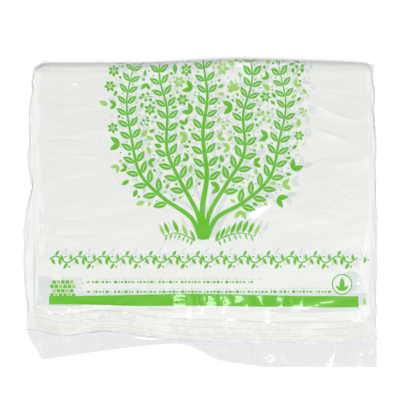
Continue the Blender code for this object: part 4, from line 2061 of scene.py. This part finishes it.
BAG_CREASES = creases(
    (VALLEY, 0.9, 1.1, -72, 129.2, -99, 127, -127, 126.6, -144, 128.6),
    (VALLEY, 0.41, 0.55, 40, 130.4, -20, 130, -72, 131.2),
    (VALLEY, 0.6, 0.9, 146, 129, 110, 127.6, 70, 129),
    (TUCK, 0.41, 0.64, -60, 122, -100, 119.5, -139, 121),
    (TUCK, 0.37, 0.74, -96, 116, -125.6, 115.6, -137, 112.5),
    (TUCK, 0.41, 0.59, -84.9, 101.6, -99.4, 102.9, -114, 100.5),
    (TUCK, 0.41, 0.69, -90, 95, -113.8, 95.7, -127, 96.6, -139, 98.5),
    (TUCK, 0.27, 0.62, -78, 76, -96, 74.5, -116, 72.5),
    (VALLEY, 0.45, 0.55, -142, 62, -136, 65.4, -124.7, 66.3, -106, 65),
    (TUCK, 0.41, 0.55, -79, 52.6, -105, 51.6, -137, 52),
    (VALLEY, 0.3, 0.74, -138, 35, -118, 31, -96, 34),
    (RIDGE, 0.41, 0.74, -81, 38, -76, 28, -66, 18),
    (TUCK, 0.37, 0.74, -47, 8, -66, 20, -82, 24),
    (TUCK, 0.3, 0.55, -96, -7, -120, -8, -136, -6),
    (TUCK, 0.45, 0.55, -92, -20.4, -118, -21.7, -147, -19),
    (RIDGE, 0.23, 0.74, -60, -24, -100, -27, -138, -26),
    (RIDGE, 0.27, 0.55, -104, -31, -105, -43),
    (TUCK, 0.45, 0.55, 6, -22, 13, -42, 16, -60),
    (TUCK, 0.34, 0.64, -30, -30, -22, -52, -24, -72),
    (TUCK, 0.3, 0.64, 40, -34, 44, -56, 38, -78),
    (TUCK, 0.41, 0.74, 148, 111, 112.9, 111.5, 98.4, 114.3, 84, 119),
    (RIDGE, 0.45, 1.09, 78, 112, 92.5, 101.6, 104.2, 94.8, 115.7, 88.9, 130, 84.3, 143, 82),
    (TUCK, 0.34, 0.99, 147, 101, 124, 105, 100, 109),
    (RIDGE, 0.45, 0.89, 88, 76, 107, 72.2, 121.5, 68.1, 136, 59),
    (TUCK, 0.34, 0.59, 148, 48, 133, 46, 112, 48, 92, 42),
    (RIDGE, 0.3, 0.64, 100, 22, 118, 8, 126, -14),
    (RIDGE, 0.3, 0.55, 112, 24, 130, 12, 138, -6),
    (VALLEY, 0.27, 0.55, 106, 2, 128, -6, 140, -22),
    (RIDGE, 0.45, 0.59, -122, -86, -105, -90, -78, -97),
    (RIDGE, 0.45, 0.55, -78, -86.5, -60, -92, -40, -94),
    (RIDGE, 0.41, 0.64, 60, -88, 88, -96, 120, -93),
)
BACK_WAVES = (Ripple(0.5, 120, 80, 13), Ripple(0.18, 40, 22, 14))
SLEEVE_FILM = (
    Ripple(0.08, 60, 26, 21),
    Ripple(0.02, 16, 9, 22, sharp=True),
    Crumple((44, 2), (24, 14), corners=(
        (20, -9, 0), (26, -8.2, 0.5), (43, 2.4, 1.85), (58, 11.6, 1.45), (65, 16, 0), (46, 17, 0),
        (30, 7, 0), (30, -11.4, 0), (46, -9, 0), (55, 0, 0.1), (66, 8, 0))),
    Crumple((-20, -78), (6, 6), corners=(
        (-26.3, -71.6, 0), (-25.4, -72.6, 2.5), (-14.2, -72.2, 2.5), (-13.2, -71.2, 0),
        (-13.4, -84.4, 0), (-25.8, -84.6, 0))),
    Crumple((69.5, -79), (4, 6), corners=(
        (66, -72.8, 0), (67, -74, 1.7), (71.6, -74, 1.7), (73, -72.8, 0), (72.2, -84.8, 0),
        (67, -84.6, 0))),
    Crumple((54.5, -79), (7, 6), corners=(
        (46.5, -72.8, 0), (48, -73.6, 2.4), (53, -73.4, 2.4), (54.5, -72.6, 0), (62, -84.6, 0),
        (55.5, -84.8, 0))),
    Crumple((6, -79), (6, 6), corners=(
        (-1, -72, 0), (0.6, -73.4, 1.7), (10.4, -73.6, 1.5), (12.4, -72.4, 0), (13.6, -84.4, 0),
        (2.8, -84.8, 0))),
    Crumple((21, -79), (6, 6), corners=(
        (14.2, -72.4, 0), (15.4, -73.6, 2), (21.4, -73.4, 1.8), (23, -72.4, 0), (28.2, -84.6, 0),
        (18, -84.4, 0))),
    Crumple((34, -79), (5, 6), corners=(
        (28.4, -72.6, 0), (29.6, -73.8, 1.6), (36.6, -74, 1.5), (38, -72.8, 0), (36.4, -84.6, 0),
        (30.4, -84.8, 0))),
    Crumple((86, -81), (6, 5), corners=(
        (79, -75.4, 0), (80.6, -76.4, 0.9), (89.4, -76.8, 1), (91.4, -75.8, 0), (88.8, -85.6, 0),
        (80, -85.2, 0))),
    Crumple((-15, -94), (9, 11), 0.6, 20, 31),
    Crumple((-1, -79), (4.5, 8), 0.9, 12, 32),
) + creases(
    (RIDGE, 1.2, 1, -11, -71, -10, -78, -11.5, -92),
    (RIDGE, 1.2, 1.1, -2, -68, 1, -77, -0.5, -90),
    (RIDGE, 0.9, 1.2, 17, -70, 19.5, -79, 18.5, -90),
    (RIDGE, 1, 1.4, 37, -72, 39.5, -79, 38, -88),
    (RIDGE, 1.2, 1.2, 57.5, -85, 58.5, -91, 58, -98),
) + (
    Crumple((-118, -96), (26, 11), 0.9, 80, 35),
    Crumple((-68, -98), (26, 10), 0.6, 50, 36),
    Crumple((141, -100), (9, 8), 0.5, 26, 37),
) + creases(
    (RIDGE, 0.6, 0.8, 132, -87, 134, -97, 142, -109),
    (RIDGE, 0.6, 0.8, 138, -84, 140, -94, 147, -105),
    (RIDGE, 0.5, 0.8, 143.5, -84, 145, -92, 150, -100),
    (RIDGE, 0.5, 0.8, 125, -96, 127, -104, 132, -111),
    (RIDGE, 0.4, 0.8, 110, -98, 111, -108),
    (RIDGE, 0.5, 0.8, -152, -87.5, -135.6, -87.7, -116, -91.6),
    (RIDGE, 0.5, 0.8, -141, -90, -139, -104),
    (RIDGE, 0.5, 0.8, -133, -93, -131, -107),
    (RIDGE, 0.4, 0.8, -126, -94, -128, -105),
    (RIDGE, 0.4, 0.8, -119, -92, -112, -98, -104, -95),
) + (
    Crumple((4, -98), (40, 9), 0.4, 50, 38),
    Crumple((84, -104), (40, 6), 0.25, 40, 39),
    Crumple((138, 72), (11, 7), 0.5, 12, 40),
    Crumple((143, -20), (7, 40), 0.45, 24, 43),
    Crumple((-143, -20), (6, 44), 0.4, 24, 44),
) + creases(
    (RIDGE, 0.6, 1.2, -144.5, 12, -138, 3),
    (RIDGE, 0.7, 1.6, -150, -7, -133, -12.5),
    (RIDGE, 0.9, 1.5, 147, 2, 146, -20, 141, -46, 137, -70),
    (RIDGE, 0.6, 1.2, 148, 40, 149, 10, 148, -20),
    (RIDGE, 0.8, 1.5, -149, -40, -145, -70, -136, -84),
    (RIDGE, 0.6, 1.1, 2, -56, 6, -70, 4, -88),
)
SLEEVE_FLAP = (
    Ripple(0.16, 90, 40, 41),
    Ripple(0.02, 24, 14, 42, sharp=True),
) + creases(
    (RIDGE, 0.5, 2, -145, -106, -143, -131),
    (RIDGE, 0.16, 1.2, -30, -113, -8, -118, 18, -126),
    (RIDGE, 0.16, 1.2, -10, -113, 8, -118, 30, -127),
    (RIDGE, 0.7, 1, 69, -120, 72, -128, 79, -145),
    (RIDGE, 0.8, 1, 120.5, -120, 117, -130, 109, -146),
    (RIDGE, 0.6, 1, 135, -120, 139, -128, 146, -146),
    (RIDGE, 0.14, 0.8, 90, -118, 92, -136),
    (RIDGE, 0.14, 0.8, 103, -118, 101, -133),
    (RIDGE, 0.2, 0.8, -92, -112, -94, -122),
    (RIDGE, 0.2, 0.8, -124, -114, -112, -110),
    (RIDGE, 0.8, 0.8, 56, -129.6, 59.5, -130.4),
    (RIDGE, 0.8, 0.8, 60.5, -127.8, 64.5, -128.6),
    (RIDGE, 0.8, 0.8, 59, -132.6, 63.5, -133.2),
    (RIDGE, 0.8, 0.8, 63, -130.6, 66.5, -131.4),
    (RIDGE, 0.8, 0.8, 61.5, -127, 61, -134.5),
) + (Crumple((143, -122), (13, 12), 0.5, 44, 47),)
SLEEVE_SIDES = (Ripple(0.8, 9, 70, 51), Ripple(0.35, 4, 24, 52, sharp=True))
SLEEVE_BACK = (Ripple(0.25, 60, 40, 61),)
SLEEVE_ENDS = (
    Ripple(0.26, 5, 26, 71, sharp=True),
    Ripple(0.24, 18, 30, 72),
    Crumple((-104, -104), (46, 9), 0.45, 90, 91),
    Crumple((-20, -108), (20, 9), 0.35, 40, 93),
    Crumple((130, -104), (20, 10), 0.45, 44, 92),
)
SLEEVE_FALL = (Ripple(0.4, 30, 60, 73),)


def add_bags(finishes: Finishes, form: BagForm) -> None:
    """Make every bag, the printed one first, and put each in its node's place.

    Args:
        finishes: The shared materials.
        form: How the bags' film lies.
    """
    outermost = FoldPath.of_node("carrier_bag_01")
    for number, weld_width in enumerate(WELD_WIDTHS, start=1):
        node = f"carrier_bag_{number:02d}"
        path = FoldPath.of_node(node, outermost)
        printed = number == 1
        bag = FilmBag(
            path, form, f"{node}_film", BAG_SEED + number, PRINTED_GRID if printed else PLAIN_GRID,
            weld_width=weld_width, print_motifs=tuple(SprigPrint().draw()) if printed else ())
        piece = bag.build(finishes.film_slots() if printed else finishes.inner_slots())
        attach(piece, "root")
        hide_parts(node)
        bag.flat_area()
        log.info("%s: %d faces", piece.name, len(piece.data.polygons))


def add_sleeve(finishes: Finishes, form: BagForm) -> None:
    """Make the clear sleeve round the bags.

    Args:
        finishes: The shared materials.
        form: How the bags' film lies.
    """
    outer = FoldPath.of_node("carrier_bag_01")
    inner = FoldPath.of_node(f"carrier_bag_{len(WELD_WIDTHS):02d}", outer)
    sleeve = ClearSleeve(
        outer, inner, form, SLEEVE_FILM, SLEEVE_FLAP, SLEEVE_SIDES, SLEEVE_BACK, SLEEVE_ENDS,
        SLEEVE_FALL)
    piece = sleeve.build(finishes.clear_film)
    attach(piece, "root")
    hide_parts("clear_sleeve")
    log.info("%s: %d faces", piece.name, len(piece.data.polygons))


def main() -> None:
    """Build the pack's looks and the studio round it."""
    logging.basicConfig(level=logging.INFO, format="%(name)s: %(message)s")
    finishes = Finishes.mix()
    form = BagForm(BAG_WAVES, BAG_CREASES, BACK_WAVES)
    add_bags(finishes, form)
    add_sleeve(finishes, form)
    Studio().build()


if __name__ == "__main__":
    main()
